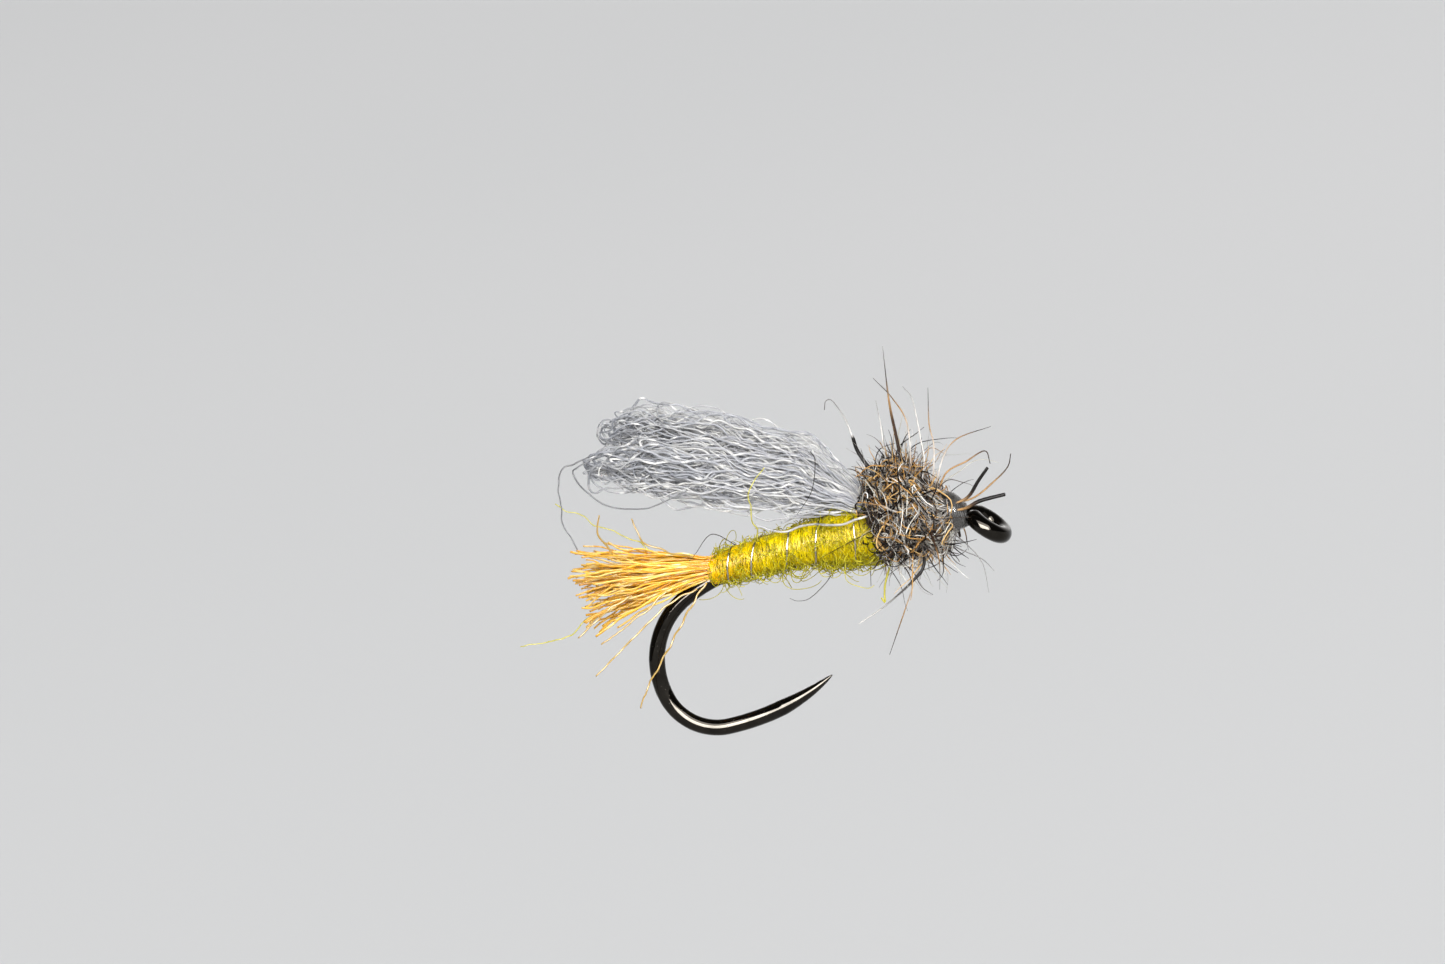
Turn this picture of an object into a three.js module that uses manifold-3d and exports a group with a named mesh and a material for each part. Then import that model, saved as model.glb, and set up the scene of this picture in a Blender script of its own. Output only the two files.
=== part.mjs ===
// A looped-wing dry fly tied on a barbless down-eye hook, in millimetres.
// +X runs along the shank towards the eye, +Y across the fly and +Z up, from the bend to the shank.
// The origin is the centre of the wire at the lowest point of the bend, where a clip or vise grips it.
import * as THREE from "three";
import { mergeVertices } from "three/addons/utils/BufferGeometryUtils.js";
import Module from "manifold-3d";

const wasm = await Module();
wasm.setup();

// ---- driving dimensions ----

const CLEARANCE = 0.02; // between pieces that touch on the real fly

const WIRE_RADIUS = 0.235;
const FORGED_HALF = 0.2; // half the wire's thickness across the forged bend
const BEND_ARCS = [
  // from the lowest point back and up to the shank, turning through half a circle in all
  { radius: 1.58, turn: 76.1 },
  { radius: 2.42, turn: 79.4 },
  { radius: 5.65, turn: 24.5 },
];
const POINT_ARC = { radius: 7.07, turn: 28 }; // the stretch that curves in towards the shank
const POINT_TAPER = { length: 1.75, power: 0.62, tipRadius: 0.012 };
const SHANK_END_X = 8.38;
const WIRE_POINTS = 16; // on each arc of the centreline
const WIRE_FACETS = 5; // round each half of the wire, between its sides
const HOOK_STEPS = 58;
const FORGING = { start: 0.8, blend: 1.6 }; // measured along the wire from the end of the straight shank
const EYE = { x: 8.77, z: 4.16, ringRadius: 0.55, wireRadius: 0.23, tilt: 47 };

const THREAD_LAYER = 0.075;
const UNDERBODY_LEAD = 0.1; // how far the abdomen's bore is wide before the thread starts
const UNDERBODY = { from: 1.62, to: 7.74 };
const TAIL_BINDING = { from: 0.64, to: 0.9, lift: 0.14, bore: 0.44, wall: 0.07 };
const WING_BINDING = { from: 5.76, to: 5.94, height: 4.67, bore: 0.58, wall: 0.09 };

// Stations along X: [x, height of the centre, radius].
const ABDOMEN = [
  [0.95, 4.56, 0.53],
  [1.3, 4.6, 0.59],
  [2.0, 4.7, 0.62],
  [3.1, 4.73, 0.68],
  [4.0, 4.71, 0.8],
  [4.8, 4.69, 0.84],
  [5.15, 4.68, 0.76],
  [5.36, 4.66, 0.58],
];
const RIB = { wireRadius: 0.05, startTurn: -0.3, endTurn: 4.15 };
const RIB_STATIONS = [0.9, 1.22, 1.95, 3.04, 3.9, 5.08, 5.3]; // where each turn passes the -Y side
const RIB_FIRST_TURN = -1; // the turn of the first station

// Stations along X: [x, height of the centre, half the width, half the height].
const THORAX = [
  [5.98, 4.98, 0.95, 1.06],
  [6.3, 5.06, 1.08, 1.18],
  [6.8, 5.1, 1.12, 1.22],
  [7.3, 4.99, 0.98, 1.02],
  [7.76, 4.74, 0.58, 0.68],
];
// The bore is wide over the wing's roots and narrow ahead of them: [x, height of the centre, radius].
const THORAX_BORE = [
  [5.98, 4.67, 0.61],
  [6.45, 4.67, 0.61],
  [6.7, 4.49, 0.36],
  [7.76, 4.49, 0.36],
];
const HEAD = [
  [7.8, 4.73, 0.53],
  [7.95, 4.72, 0.52],
  [8.08, 4.67, 0.47],
  [8.2, 4.6, 0.4],
];
const CEMENT = { gap: 0.015, coat: 0.035 };

const SHUCK = [
  // x, height of the centre, half the width, half the height
  [0.92, 4.76, 0.2, 0.12],
  [0.6, 4.69, 0.24, 0.13],
  [0.2, 4.82, 0.42, 0.33],
  [-0.5, 4.83, 0.6, 0.57],
  [-1.2, 4.85, 0.74, 0.77],
  [-2.2, 4.9, 0.86, 0.87],
  [-3.15, 4.95, 0.95, 0.93],
];

// The wing's lobes are folded bunches: [x, y, z, half the width, half the thickness] along each one.
const WING_ROOT = [
  [6.35, 0.23, 4.99, 0.18, 0.12],
  [5.95, 0.23, 4.99, 0.18, 0.13],
  [5.66, 0.23, 5.02, 0.17, 0.12],
];
const WING_FAR = [
  [5.45, 0.25, 5.42, 0.2, 0.17],
  [5.1, 0.34, 5.95, 0.27, 0.26],
  [3.9, 0.52, 6.85, 0.42, 0.68],
  [1.6, 0.6, 8.2, 0.5, 0.78],
  [-0.25, 0.62, 9.0, 0.46, 0.62],
  [-1.25, 0.62, 9.2, 0.28, 0.34],
];
const WING_NEAR = [
  [5.46, -0.25, 5.44, 0.2, 0.16],
  [5.02, -0.34, 5.86, 0.27, 0.22],
  [3.75, -0.52, 6.45, 0.42, 0.62],
  [1.35, -0.6, 7.45, 0.5, 0.82],
  [-0.6, -0.62, 8.15, 0.46, 0.66],
  [-2.0, -0.62, 8.55, 0.28, 0.34],
];

const THORAX_THREAD = { x: 7.4, lean: 0.22, wireRadius: 0.04, standoff: 0.07, steps: 30 };

// Guard hairs of the thorax: the angle round it and the station where each one roots, then its path.
// An angle of 0 is +Y, 90 is up and 180 is -Y. Tip and root radii are in millimetres.
const GUARD_HAIRS = [
  {
    root: [6.15, 105],
    radius: 0.05,
    path: [[5.7, -0.1, 6.95], [5.56, -0.2, 8.1], [5.35, -0.24, 8.66], [5.17, -0.28, 8.7], [5.07, -0.3, 8.46]],
  },
  {
    root: [6.8, 95],
    radius: 0.05,
    path: [[6.86, -0.1, 7.25], [6.93, -0.2, 8.3], [7.16, -0.3, 9.89]],
  },
  {
    root: [7.0, 115],
    radius: 0.04,
    path: [[7.34, -0.6, 7.53], [7.16, -0.8, 8.43], [6.77, -0.9, 9.17]],
  },
  {
    root: [7.45, 80],
    radius: 0.035,
    path: [[7.78, 0.2, 6.6], [7.8, 0.3, 7.3], [8.01, 0.4, 8.31]],
  },
  {
    root: [7.5, 100],
    radius: 0.04,
    path: [[7.97, -0.2, 6.25], [8.55, -0.3, 6.8], [9.63, -0.4, 6.97]],
  },
  {
    root: [7.55, 90],
    radius: 0.035,
    path: [[8.2, 0.05, 5.9], [9.25, 0.1, 6.2], [9.24, 0.1, 5.82]],
  },
  {
    root: [7.7, 110],
    radius: 0.055,
    path: [[8.47, -0.25, 5.08], [8.83, -0.35, 5.42], [9.22, -0.45, 5.75]],
  },
  {
    root: [7.7, 60],
    radius: 0.04,
    path: [[8.45, 0.35, 4.98], [9.3, 0.45, 5.35], [9.86, 0.5, 5.94]],
  },
  {
    root: [7.75, 150],
    radius: 0.06,
    path: [[8.37, -0.5, 4.83], [8.82, -0.55, 4.96], [9.57, -0.6, 5.0]],
  },
  {
    root: [6.9, 250],
    radius: 0.04,
    path: [[6.82, -0.7, 3.54], [5.93, -0.9, 2.88], [4.63, -1.1, 2.34]],
  },
  {
    root: [6.8, 285],
    radius: 0.04,
    path: [[6.38, 0.5, 3.12], [5.8, 0.7, 2.24], [4.93, 0.8, 0.87]],
  },
  {
    root: [6.15, 255],
    radius: 0.035,
    path: [[5.75, -0.35, 3.4], [5.58, -0.4, 3.0], [5.34, -0.4, 2.72]],
  },
  {
    root: [7.3, 100],
    radius: 0.035,
    path: [[7.5, -0.3, 6.94], [7.62, -0.35, 8.0], [7.4, -0.4, 8.6]],
  },
  {
    root: [6.3, 85],
    radius: 0.035,
    path: [[6.38, 0.15, 6.9], [6.46, 0.2, 7.64], [6.48, 0.25, 8.3]],
  },
  {
    root: [7.3, 280],
    radius: 0.035,
    path: [[7.7, 0.3, 3.6], [8.3, 0.4, 3.1], [8.54, 0.5, 2.67]],
  },
  {
    root: [7.72, 255],
    radius: 0.03,
    path: [[8.1, -0.2, 3.7], [8.4, -0.3, 3.1], [8.37, -0.3, 2.25]],
  },
  {
    root: [6.6, 175],
    radius: 0.04,
    path: [[6.5, -1.7, 5.5], [6.2, -2.3, 5.9], [5.7, -2.8, 6.0]],
  },
  {
    root: [7.2, 205],
    radius: 0.04,
    path: [[7.4, -1.7, 4.3], [7.5, -2.2, 3.8], [7.4, -2.6, 3.1]],
  },
  {
    root: [6.6, 5],
    radius: 0.04,
    path: [[6.6, 1.7, 5.5], [6.4, 2.3, 6.0], [5.9, 2.7, 6.3]],
  },
  {
    root: [7.2, 335],
    radius: 0.04,
    path: [[7.4, 1.7, 4.3], [7.7, 2.2, 3.8], [7.6, 2.6, 3.0]],
  },
];
const HAIR_TIP_RADIUS = 0.014;

// Loose fibres of the shuck, the wing and the abdomen's dubbing.
const STRAYS = {
  shuck_fibre_upright: {
    radius: 0.035,
    material: "shuck",
    path: [[-2.0, -0.5, 6.0], [-2.15, -0.6, 6.42], [-1.97, -0.7, 6.98]],
  },
  shuck_fibre_hooked: {
    radius: 0.035,
    material: "shuck",
    path: [[-0.5, -0.75, 5.45], [-0.96, -0.85, 5.94], [-1.12, -0.9, 6.58]],
  },
  shuck_fibre_short: {
    radius: 0.035,
    material: "shuck",
    path: [[-1.3, -0.9, 4.0], [-2.2, -1.0, 3.43], [-2.88, -1.0, 3.13]],
  },
  shuck_fibre_low: {
    radius: 0.035,
    material: "shuck",
    path: [[-0.75, -0.6, 3.98], [-1.81, -0.8, 3.22], [-3.31, -0.9, 2.26]],
  },
  shuck_fibre_lowest: {
    radius: 0.035,
    material: "shuck",
    path: [[-0.04, -0.42, 3.8], [-1.09, -0.45, 2.63], [-2.0, -0.45, 1.6], [-2.25, -0.45, 1.15]],
  },
  shuck_fibre_rear: {
    radius: 0.035,
    material: "shuck",
    path: [[-2.3, -0.95, 4.3], [-2.9, -1.0, 3.9], [-3.5, -1.0, 3.5]],
  },
  dubbing_fibre_high: {
    radius: 0.03,
    material: "dubbing",
    path: [[-1.4, 0.6, 5.95], [-2.52, 0.7, 6.8], [-3.33, 0.8, 7.47]],
  },
  dubbing_fibre_rear: {
    radius: 0.03,
    material: "dubbing",
    path: [[-3.3, 0.2, 4.0], [-3.95, 0.25, 3.58], [-5.35, 0.3, 3.59]],
  },
  dubbing_loop: {
    radius: 0.03,
    material: "dubbing",
    path: [[2.3, -0.75, 5.4], [2.46, -1.25, 6.45], [2.75, -1.3, 7.1], [3.18, -1.3, 7.36]],
  },
  wing_stray_long: {
    radius: 0.03,
    material: "wing",
    path: [[-2.25, -0.7, 8.6], [-2.75, -0.85, 8.4], [-2.95, -0.95, 7.0], [-2.74, -1.0, 6.2]],
  },
  wing_stray_loop: {
    radius: 0.03,
    material: "wing",
    path: [
      [-2.1, -0.97, 8.55], [-2.28, -1.2, 8.4], [-2.0, -1.2, 7.75], [-1.48, -1.25, 7.27],
      [-0.65, -1.25, 7.0], [0.1, -1.25, 7.05],
    ],
  },
  wing_strand_low: {
    radius: 0.03,
    material: "wing",
    path: [
      [5.5, -0.85, 5.25], [4.81, -0.85, 5.18], [3.76, -0.6, 5.4], [3.13, -0.6, 5.3], [2.3, -0.42, 5.66],
    ],
  },
};

const MATERIALS = {
  blackNickel: new THREE.MeshStandardMaterial({ color: 0x1d1b14, roughness: 0.2, metalness: 1 }),
  silver: new THREE.MeshStandardMaterial({ color: 0xc9c7c0, roughness: 0.3, metalness: 1 }),
  thread: new THREE.MeshStandardMaterial({ color: 0x5d5b5a, roughness: 0.7 }),
  cement: new THREE.MeshStandardMaterial({ color: 0x8a8884, roughness: 0.1 }),
  dubbing: new THREE.MeshStandardMaterial({ color: 0xcdb722, roughness: 0.9 }),
  fur: new THREE.MeshStandardMaterial({ color: 0x857460, roughness: 0.9 }),
  guardHair: new THREE.MeshStandardMaterial({ color: 0x3a3026, roughness: 0.6 }),
  shuck: new THREE.MeshStandardMaterial({ color: 0xeab540, roughness: 0.5 }),
  wing: new THREE.MeshStandardMaterial({ color: 0xb5b2b0, roughness: 0.35 }),
};

// ---- geometry helpers ----

const ACROSS = new THREE.Vector3(0, 1, 0);
const ALONG = new THREE.Vector3(1, 0, 0);
const radians = THREE.MathUtils.degToRad;

// One closed surface through rings of points. Each ring turns anticlockwise seen from the next ring.
// An open stack of rings gets an end cap at each end, and a looped one joins its last ring to its first.
function skin(rings, looped = false) {
  const sides = rings[0].length;
  const points = rings.flat();
  const index = [];
  const bands = looped ? rings.length : rings.length - 1;
  for (let i = 0; i < bands; i++) {
    const here = i * sides;
    const next = ((i + 1) % rings.length) * sides;
    for (let j = 0; j < sides; j++) {
      const k = (j + 1) % sides;
      index.push(here + j, here + k, next + k, here + j, next + k, next + j);
    }
  }
  if (!looped) {
    const last = (rings.length - 1) * sides;
    const startCentre = points.push(middle(rings[0])) - 1;
    const endCentre = points.push(middle(rings.at(-1))) - 1;
    for (let j = 0; j < sides; j++) {
      const k = (j + 1) % sides;
      index.push(startCentre, k, j, endCentre, last + j, last + k);
    }
  }
  return new THREE.BufferGeometry().setFromPoints(points).setIndex(index);
}

function middle(ring) {
  const sum = ring.reduce((total, point) => total.add(point), new THREE.Vector3());
  return sum.divideScalar(ring.length);
}

function ellipse(halfWidth, halfHeight, sides) {
  return Array.from({ length: sides }, (_, j) => {
    const angle = (2 * Math.PI * (j + 0.5)) / sides;
    return [halfWidth * Math.cos(angle), halfHeight * Math.sin(angle)];
  });
}

// A section placed at a point, with its width along the side direction and its height along the up one.
function placeSection(section, centre, tangent, reference) {
  const up = new THREE.Vector3().crossVectors(tangent, reference).normalize();
  const side = new THREE.Vector3().crossVectors(up, tangent);
  return section.map(([across, above]) =>
    centre.clone().addScaledVector(side, across).addScaledVector(up, above),
  );
}

function sweep(curve, steps, sectionAt, reference = ACROSS) {
  const rings = [];
  for (let i = 0; i <= steps; i++) {
    const t = i / steps;
    const tangent = curve.getTangentAt(t);
    rings.push(placeSection(sectionAt(t), curve.getPointAt(t), tangent, reference));
  }
  return skin(rings);
}

// A ring in a plane square to X.
function ringAcross(x, height, halfWidth, halfHeight, sides) {
  return ellipse(halfWidth, halfHeight, sides).map(
    ([across, above]) => new THREE.Vector3(x, across, height + above),
  );
}

// Reads a table of [position, value, value...] rows between its rows, smoothly unless told otherwise.
function tableReader(rows, Interpolant = THREE.CubicInterpolant) {
  const positions = rows.map((row) => row[0]);
  const values = rows.flatMap((row) => row.slice(1));
  const reader = new Interpolant(positions, values, rows[0].length - 1);
  return (position) => Array.from(reader.evaluate(position));
}

// A sleeve round the shank: an outer wall and a bore, each read from a function of X that gives
// [height of the centre, half the width, half the height].
function sleeve({ from, to, steps, sides, wallAt, boreAt }) {
  const outer = [];
  const inner = [];
  for (let i = 0; i <= steps; i++) {
    const x = THREE.MathUtils.lerp(from, to, i / steps);
    outer.push(ringAcross(x, ...wallAt(x), sides));
    inner.unshift(ringAcross(x, ...boreAt(x), sides));
  }
  return skin([...outer, ...inner], true);
}

// A fibre that thins from its root to its tip, through a few points.
function fibre(points, rootRadius, { steps = 10, sides = 4 } = {}) {
  const curve = new THREE.CatmullRomCurve3(points, false, "centripetal");
  return sweep(curve, steps, (t) => {
    const radius = THREE.MathUtils.lerp(rootRadius, HAIR_TIP_RADIUS, t ** 1.5);
    return ellipse(radius, radius, sides);
  });
}

function solid(geometry) {
  const bare = geometry.index ? geometry.toNonIndexed() : geometry.clone();
  bare.deleteAttribute("normal");
  bare.deleteAttribute("uv");
  const merged = mergeVertices(bare, 1e-4);
  return new wasm.Manifold(
    new wasm.Mesh({
      numProp: 3,
      vertProperties: merged.attributes.position.array,
      triVerts: new Uint32Array(merged.index.array),
    }),
  );
}

function geometryOf(manifold) {
  const { vertProperties, triVerts } = manifold.getMesh();
  return new THREE.BufferGeometry()
    .setAttribute("position", new THREE.BufferAttribute(vertProperties, 3))
    .setIndex(new THREE.BufferAttribute(triVerts, 1));
}

// ---- the fly, piece by piece ----

const fly = new THREE.Group();

function add(name, geometry, material) {
  geometry.computeVertexNormals();
  const mesh = new THREE.Mesh(geometry, material);
  mesh.name = name;
  fly.add(mesh);
}

// The centreline of the wire in the XZ plane, from the eye along the shank and round the bend to the point.
function wirePath() {
  let angle = 270; // of a point on its own arc, seen from the arc's centre
  let end = new THREE.Vector2(0, 0);
  const arcs = [];
  for (const { radius, turn } of BEND_ARCS) {
    const centre = end.clone().sub(onCircle(radius, angle));
    arcs.unshift(new THREE.EllipseCurve(
      centre.x, centre.y, radius, radius, radians(angle - turn), radians(angle),
    ));
    angle -= turn;
    end = centre.add(onCircle(radius, angle));
  }
  arcs.push(new THREE.EllipseCurve(
    0, POINT_ARC.radius, POINT_ARC.radius, POINT_ARC.radius, radians(270), radians(270 + POINT_ARC.turn),
  ));
  const shank = new THREE.LineCurve(new THREE.Vector2(SHANK_END_X, end.y), end);
  const corners = [shank, ...arcs].flatMap((piece) => piece.getSpacedPoints(WIRE_POINTS).slice(1));
  const points = [new THREE.Vector2(SHANK_END_X, end.y), ...corners];
  const curve = new THREE.CatmullRomCurve3(points.map(({ x, y }) => new THREE.Vector3(x, 0, y)));
  curve.arcLengthDivisions = 2000;
  return { curve, shankHeight: end.y, shankStart: end.x };
}

function onCircle(radius, degrees) {
  return new THREE.Vector2(Math.cos(radians(degrees)), Math.sin(radians(degrees))).multiplyScalar(radius);
}

const wire = wirePath();

// The height of the wire's centre under the body, where the first arc starts to drop from the shank.
function wireHeight(x) {
  const { radius } = BEND_ARCS.at(-1);
  const back = Math.max(0, wire.shankStart - x);
  return wire.shankHeight - radius + Math.sqrt(radius ** 2 - back ** 2);
}

// The wire's section is round, with its sides flattened where the bend is forged.
function wireSection(radius, halfAcross) {
  const facet = Math.PI / (2 * WIRE_FACETS + 2);
  const flat = Math.max(facet, Math.acos(Math.min(1, halfAcross / radius)));
  const top = Array.from({ length: WIRE_FACETS + 1 }, (_, k) => {
    const angle = flat + ((Math.PI - 2 * flat) * k) / WIRE_FACETS;
    const across = radius * Math.cos(angle);
    return [THREE.MathUtils.clamp(across, -halfAcross, halfAcross), radius * Math.sin(angle)];
  });
  const under = top.map(([across, above]) => [-across, -above]);
  return [...top, ...under];
}

function hook() {
  const length = wire.curve.getLength();
  const tube = sweep(wire.curve, HOOK_STEPS, (t) => {
    const fromTip = (1 - t) * length;
    const taper = Math.min(1, fromTip / POINT_TAPER.length) ** POINT_TAPER.power;
    const radius = Math.max(POINT_TAPER.tipRadius, WIRE_RADIUS * taper);
    const intoBend = t * length - (SHANK_END_X - wire.shankStart);
    const forged = THREE.MathUtils.smoothstep(intoBend, FORGING.start, FORGING.start + FORGING.blend);
    return wireSection(radius, Math.min(radius, THREE.MathUtils.lerp(WIRE_RADIUS, FORGED_HALF, forged)));
  });
  const ring = new THREE.TorusGeometry(EYE.ringRadius, EYE.wireRadius, 10, 24);
  ring.rotateY(radians(EYE.tilt));
  ring.translate(EYE.x, 0, EYE.z);
  return geometryOf(solid(tube).add(solid(ring)));
}
add("hook", hook(), MATERIALS.blackNickel);

// ---- thread under the body, and the turns that bind the shuck and the wing ----

const circleAt = (height, radius) => [height, radius, radius];

add(
  "underbody_thread",
  sleeve({
    ...UNDERBODY,
    steps: 10,
    sides: 14,
    wallAt: (x) => circleAt(wireHeight(x), WIRE_RADIUS + CLEARANCE + THREAD_LAYER),
    boreAt: (x) => circleAt(wireHeight(x), WIRE_RADIUS + CLEARANCE),
  }),
  MATERIALS.thread,
);
add(
  "tail_binding",
  sleeve({
    ...TAIL_BINDING,
    steps: 2,
    sides: 14,
    wallAt: (x) => circleAt(wireHeight(x) + TAIL_BINDING.lift, TAIL_BINDING.bore + TAIL_BINDING.wall),
    boreAt: (x) => circleAt(wireHeight(x) + TAIL_BINDING.lift, TAIL_BINDING.bore),
  }),
  MATERIALS.thread,
);
add(
  "wing_binding",
  sleeve({
    ...WING_BINDING,
    steps: 2,
    sides: 16,
    wallAt: () => circleAt(WING_BINDING.height, WING_BINDING.bore + WING_BINDING.wall),
    boreAt: () => circleAt(WING_BINDING.height, WING_BINDING.bore),
  }),
  MATERIALS.thread,
);

// ---- shuck, abdomen and rib ----

// A bunch of filaments as one closed form, through [centre, half the width, half the height] rows.
function bunch(rows, steps, sides) {
  const curve = new THREE.CatmullRomCurve3(rows.map(({ centre }) => centre), false, "centripetal");
  const lengths = rows.map((_, i) => i / (rows.length - 1));
  const sizeAt = tableReader(rows.map(({ size }, i) => [lengths[i], ...size]));
  const rings = [];
  for (let i = 0; i <= steps; i++) {
    const t = i / steps;
    const section = ellipse(...sizeAt(t), sides);
    rings.push(placeSection(section, curve.getPoint(t), curve.getTangent(t), ACROSS));
  }
  return skin(rings);
}

const shuckRows = SHUCK.map(([x, z, ...size]) => ({ centre: new THREE.Vector3(x, 0, z), size }));
add("trailing_shuck", bunch(shuckRows, 12, 14), MATERIALS.shuck);

const abdomenAt = tableReader(ABDOMEN);

// The abdomen's bore is close to the bare wire at its rear and clears the thread further forward.
function abdomenBore(x) {
  const overThread = x > UNDERBODY.from - UNDERBODY_LEAD;
  return WIRE_RADIUS + CLEARANCE + (overThread ? THREAD_LAYER + CLEARANCE : 0);
}

add(
  "abdomen_dubbing",
  sleeve({
    from: ABDOMEN[0][0],
    to: ABDOMEN.at(-1)[0],
    steps: 14,
    sides: 16,
    wallAt: (x) => circleAt(...abdomenAt(x)),
    boreAt: (x) => circleAt(wireHeight(x), abdomenBore(x)),
  }),
  MATERIALS.dubbing,
);

class RibCurve extends THREE.Curve {
  constructor() {
    super();
    this.stationAt = tableReader(RIB_STATIONS.map((x, i) => [i + RIB_FIRST_TURN, x]));
  }

  getPoint(t) {
    const turn = THREE.MathUtils.lerp(RIB.startTurn, RIB.endTurn, t);
    const [x] = this.stationAt(turn);
    const [height, radius] = abdomenAt(x);
    const reach = radius + RIB.wireRadius + CLEARANCE;
    const angle = Math.PI - 2 * Math.PI * turn; // it rises on the -Y side as it runs forward
    return new THREE.Vector3(x, reach * Math.cos(angle), height + reach * Math.sin(angle));
  }
}
const ribSection = ellipse(RIB.wireRadius, RIB.wireRadius, 5);
add("rib_wire", sweep(new RibCurve(), 68, () => ribSection, ALONG), MATERIALS.silver);

// ---- wing ----

function lobe(rootSide, rows) {
  const root = WING_ROOT.map(([x, y, ...rest]) => [x, rootSide * y, ...rest]);
  const all = [...root, ...rows].map(([x, y, z, ...size]) => ({
    centre: new THREE.Vector3(x, y, z),
    size,
  }));
  return bunch(all, 26, 10);
}
add("wing_loop_far", lobe(1, WING_FAR), MATERIALS.wing);
add("wing_loop_near", lobe(-1, WING_NEAR), MATERIALS.wing);

// ---- thorax ----

const thoraxAt = tableReader(THORAX);
const thoraxBoreAt = tableReader(THORAX_BORE, THREE.LinearInterpolant);
add(
  "thorax_dubbing",
  sleeve({
    from: THORAX[0][0],
    to: THORAX.at(-1)[0],
    steps: 10,
    sides: 18,
    wallAt: thoraxAt,
    boreAt: (x) => circleAt(...thoraxBoreAt(x)),
  }),
  MATERIALS.fur,
);

// A point just outside the thorax's wall, at an angle round it.
function thoraxSurface(x, degrees, standoff) {
  const [height, halfWidth, halfHeight] = thoraxAt(x);
  return new THREE.Vector3(
    x,
    (halfWidth + standoff) * Math.cos(radians(degrees)),
    height + (halfHeight + standoff) * Math.sin(radians(degrees)),
  );
}

// A turn of thread round the front of the thorax, leaning back over its top.
function leaningTurn({ x, lean, wireRadius, standoff, steps }) {
  const turn = Array.from({ length: steps }, (_, i) => {
    const degrees = (360 * i) / steps;
    const station = x - lean * Math.sin(radians(degrees));
    return thoraxSurface(station, degrees, wireRadius + standoff);
  });
  const curve = new THREE.CatmullRomCurve3(turn, true);
  const section = ellipse(wireRadius, wireRadius, 5);
  const rings = turn.map((centre, i) => placeSection(section, centre, curve.getTangent(i / steps), ALONG));
  return skin(rings, true);
}
add("thorax_thread", leaningTurn(THORAX_THREAD), MATERIALS.thread);

// ---- head ----

const headAt = tableReader(HEAD);
const headSpan = { from: HEAD[0][0], to: HEAD.at(-1)[0], steps: 5, sides: 14 };
add(
  "thread_head",
  sleeve({
    ...headSpan,
    wallAt: (x) => circleAt(...headAt(x)),
    boreAt: () => circleAt(wire.shankHeight, WIRE_RADIUS + CLEARANCE),
  }),
  MATERIALS.thread,
);
add(
  "head_cement",
  sleeve({
    ...headSpan,
    wallAt: (x) => grown(headAt(x), CEMENT.gap + CEMENT.coat),
    boreAt: (x) => grown(headAt(x), CEMENT.gap),
  }),
  MATERIALS.cement,
);

function grown([height, radius], by) {
  return circleAt(height, radius + by);
}

// ---- guard hairs and loose fibres ----

const points = (list) => list.map(([x, y, z]) => new THREE.Vector3(x, y, z));

GUARD_HAIRS.forEach(({ root: [x, degrees], radius, path }, i) => {
  const root = thoraxSurface(x, degrees, radius + 2 * CLEARANCE);
  const name = `guard_hair_${String(i + 1).padStart(2, "0")}`;
  add(name, fibre([root, ...points(path)], radius), MATERIALS.guardHair);
});

for (const [name, { radius, material, path }] of Object.entries(STRAYS))
  add(name, fibre(points(path), radius), MATERIALS[material]);

export default fly;
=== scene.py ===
"""A looped-wing dry fly on a barbless down-eye hook, seen over a pale floor in soft studio light.

Lengths in the tables are millimetres in the frame of the CAD model: +X along the shank to the eye,
+Y across, +Z up, with the origin at the wire's centre at the lowest point of the bend. MM turns them
into metres.
"""
import math

import bpy
import numpy as np
from mathutils import Matrix, Vector


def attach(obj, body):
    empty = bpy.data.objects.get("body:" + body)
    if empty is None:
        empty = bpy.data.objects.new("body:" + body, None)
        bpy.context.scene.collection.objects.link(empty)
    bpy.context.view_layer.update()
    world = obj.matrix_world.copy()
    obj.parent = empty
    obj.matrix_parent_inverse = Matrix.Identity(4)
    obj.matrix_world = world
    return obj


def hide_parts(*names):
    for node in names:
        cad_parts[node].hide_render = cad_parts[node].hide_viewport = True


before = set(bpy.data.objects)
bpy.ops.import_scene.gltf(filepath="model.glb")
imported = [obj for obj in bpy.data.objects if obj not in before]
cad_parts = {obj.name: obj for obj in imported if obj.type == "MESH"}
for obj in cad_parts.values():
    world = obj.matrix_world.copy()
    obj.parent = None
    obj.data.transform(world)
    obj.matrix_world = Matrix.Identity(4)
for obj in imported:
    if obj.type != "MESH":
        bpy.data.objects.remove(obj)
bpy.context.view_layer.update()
MM = 0.001
FULL_TURN = 2 * math.pi
FIBRE_NOISE_SHIFT = 90.0  # how far apart in noise the lightest and the darkest fibre are

# ---- dimensions that the pieces share, in millimetres ----

WIRE_RADIUS = 0.235
FORGED_HALF = 0.2
BEND_ARCS = ((1.58, 76.1), (2.42, 79.4), (5.65, 24.5))  # radius and turn, from the lowest point back up
POINT_ARC = (7.07, 28.0)
POINT_TAPER_LENGTH = 1.75
POINT_TAPER_POWER = 0.62
POINT_TIP_RADIUS = 0.012
SHANK_END_X = 8.48
NECK_LENGTH = 0.5  # the last stretch of the shank, where the wire thickens into the eye
EYE_CENTRE = (8.77, 0, 4.16)
EYE_RING_RADIUS = 0.53
EYE_WIRE_RADIUS = 0.25
EYE_TILT = 47.0


def shank_height():
    """The height of the shank's axis: what the bend's three arcs climb from the origin."""
    angle = math.radians(270)
    height = 0.0
    for radius, turn in BEND_ARCS:
        end = angle - math.radians(turn)
        height += radius * (math.sin(end) - math.sin(angle))
        angle = end
    return height


SHANK_Z = shank_height()


# ---- small helpers ----

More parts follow.
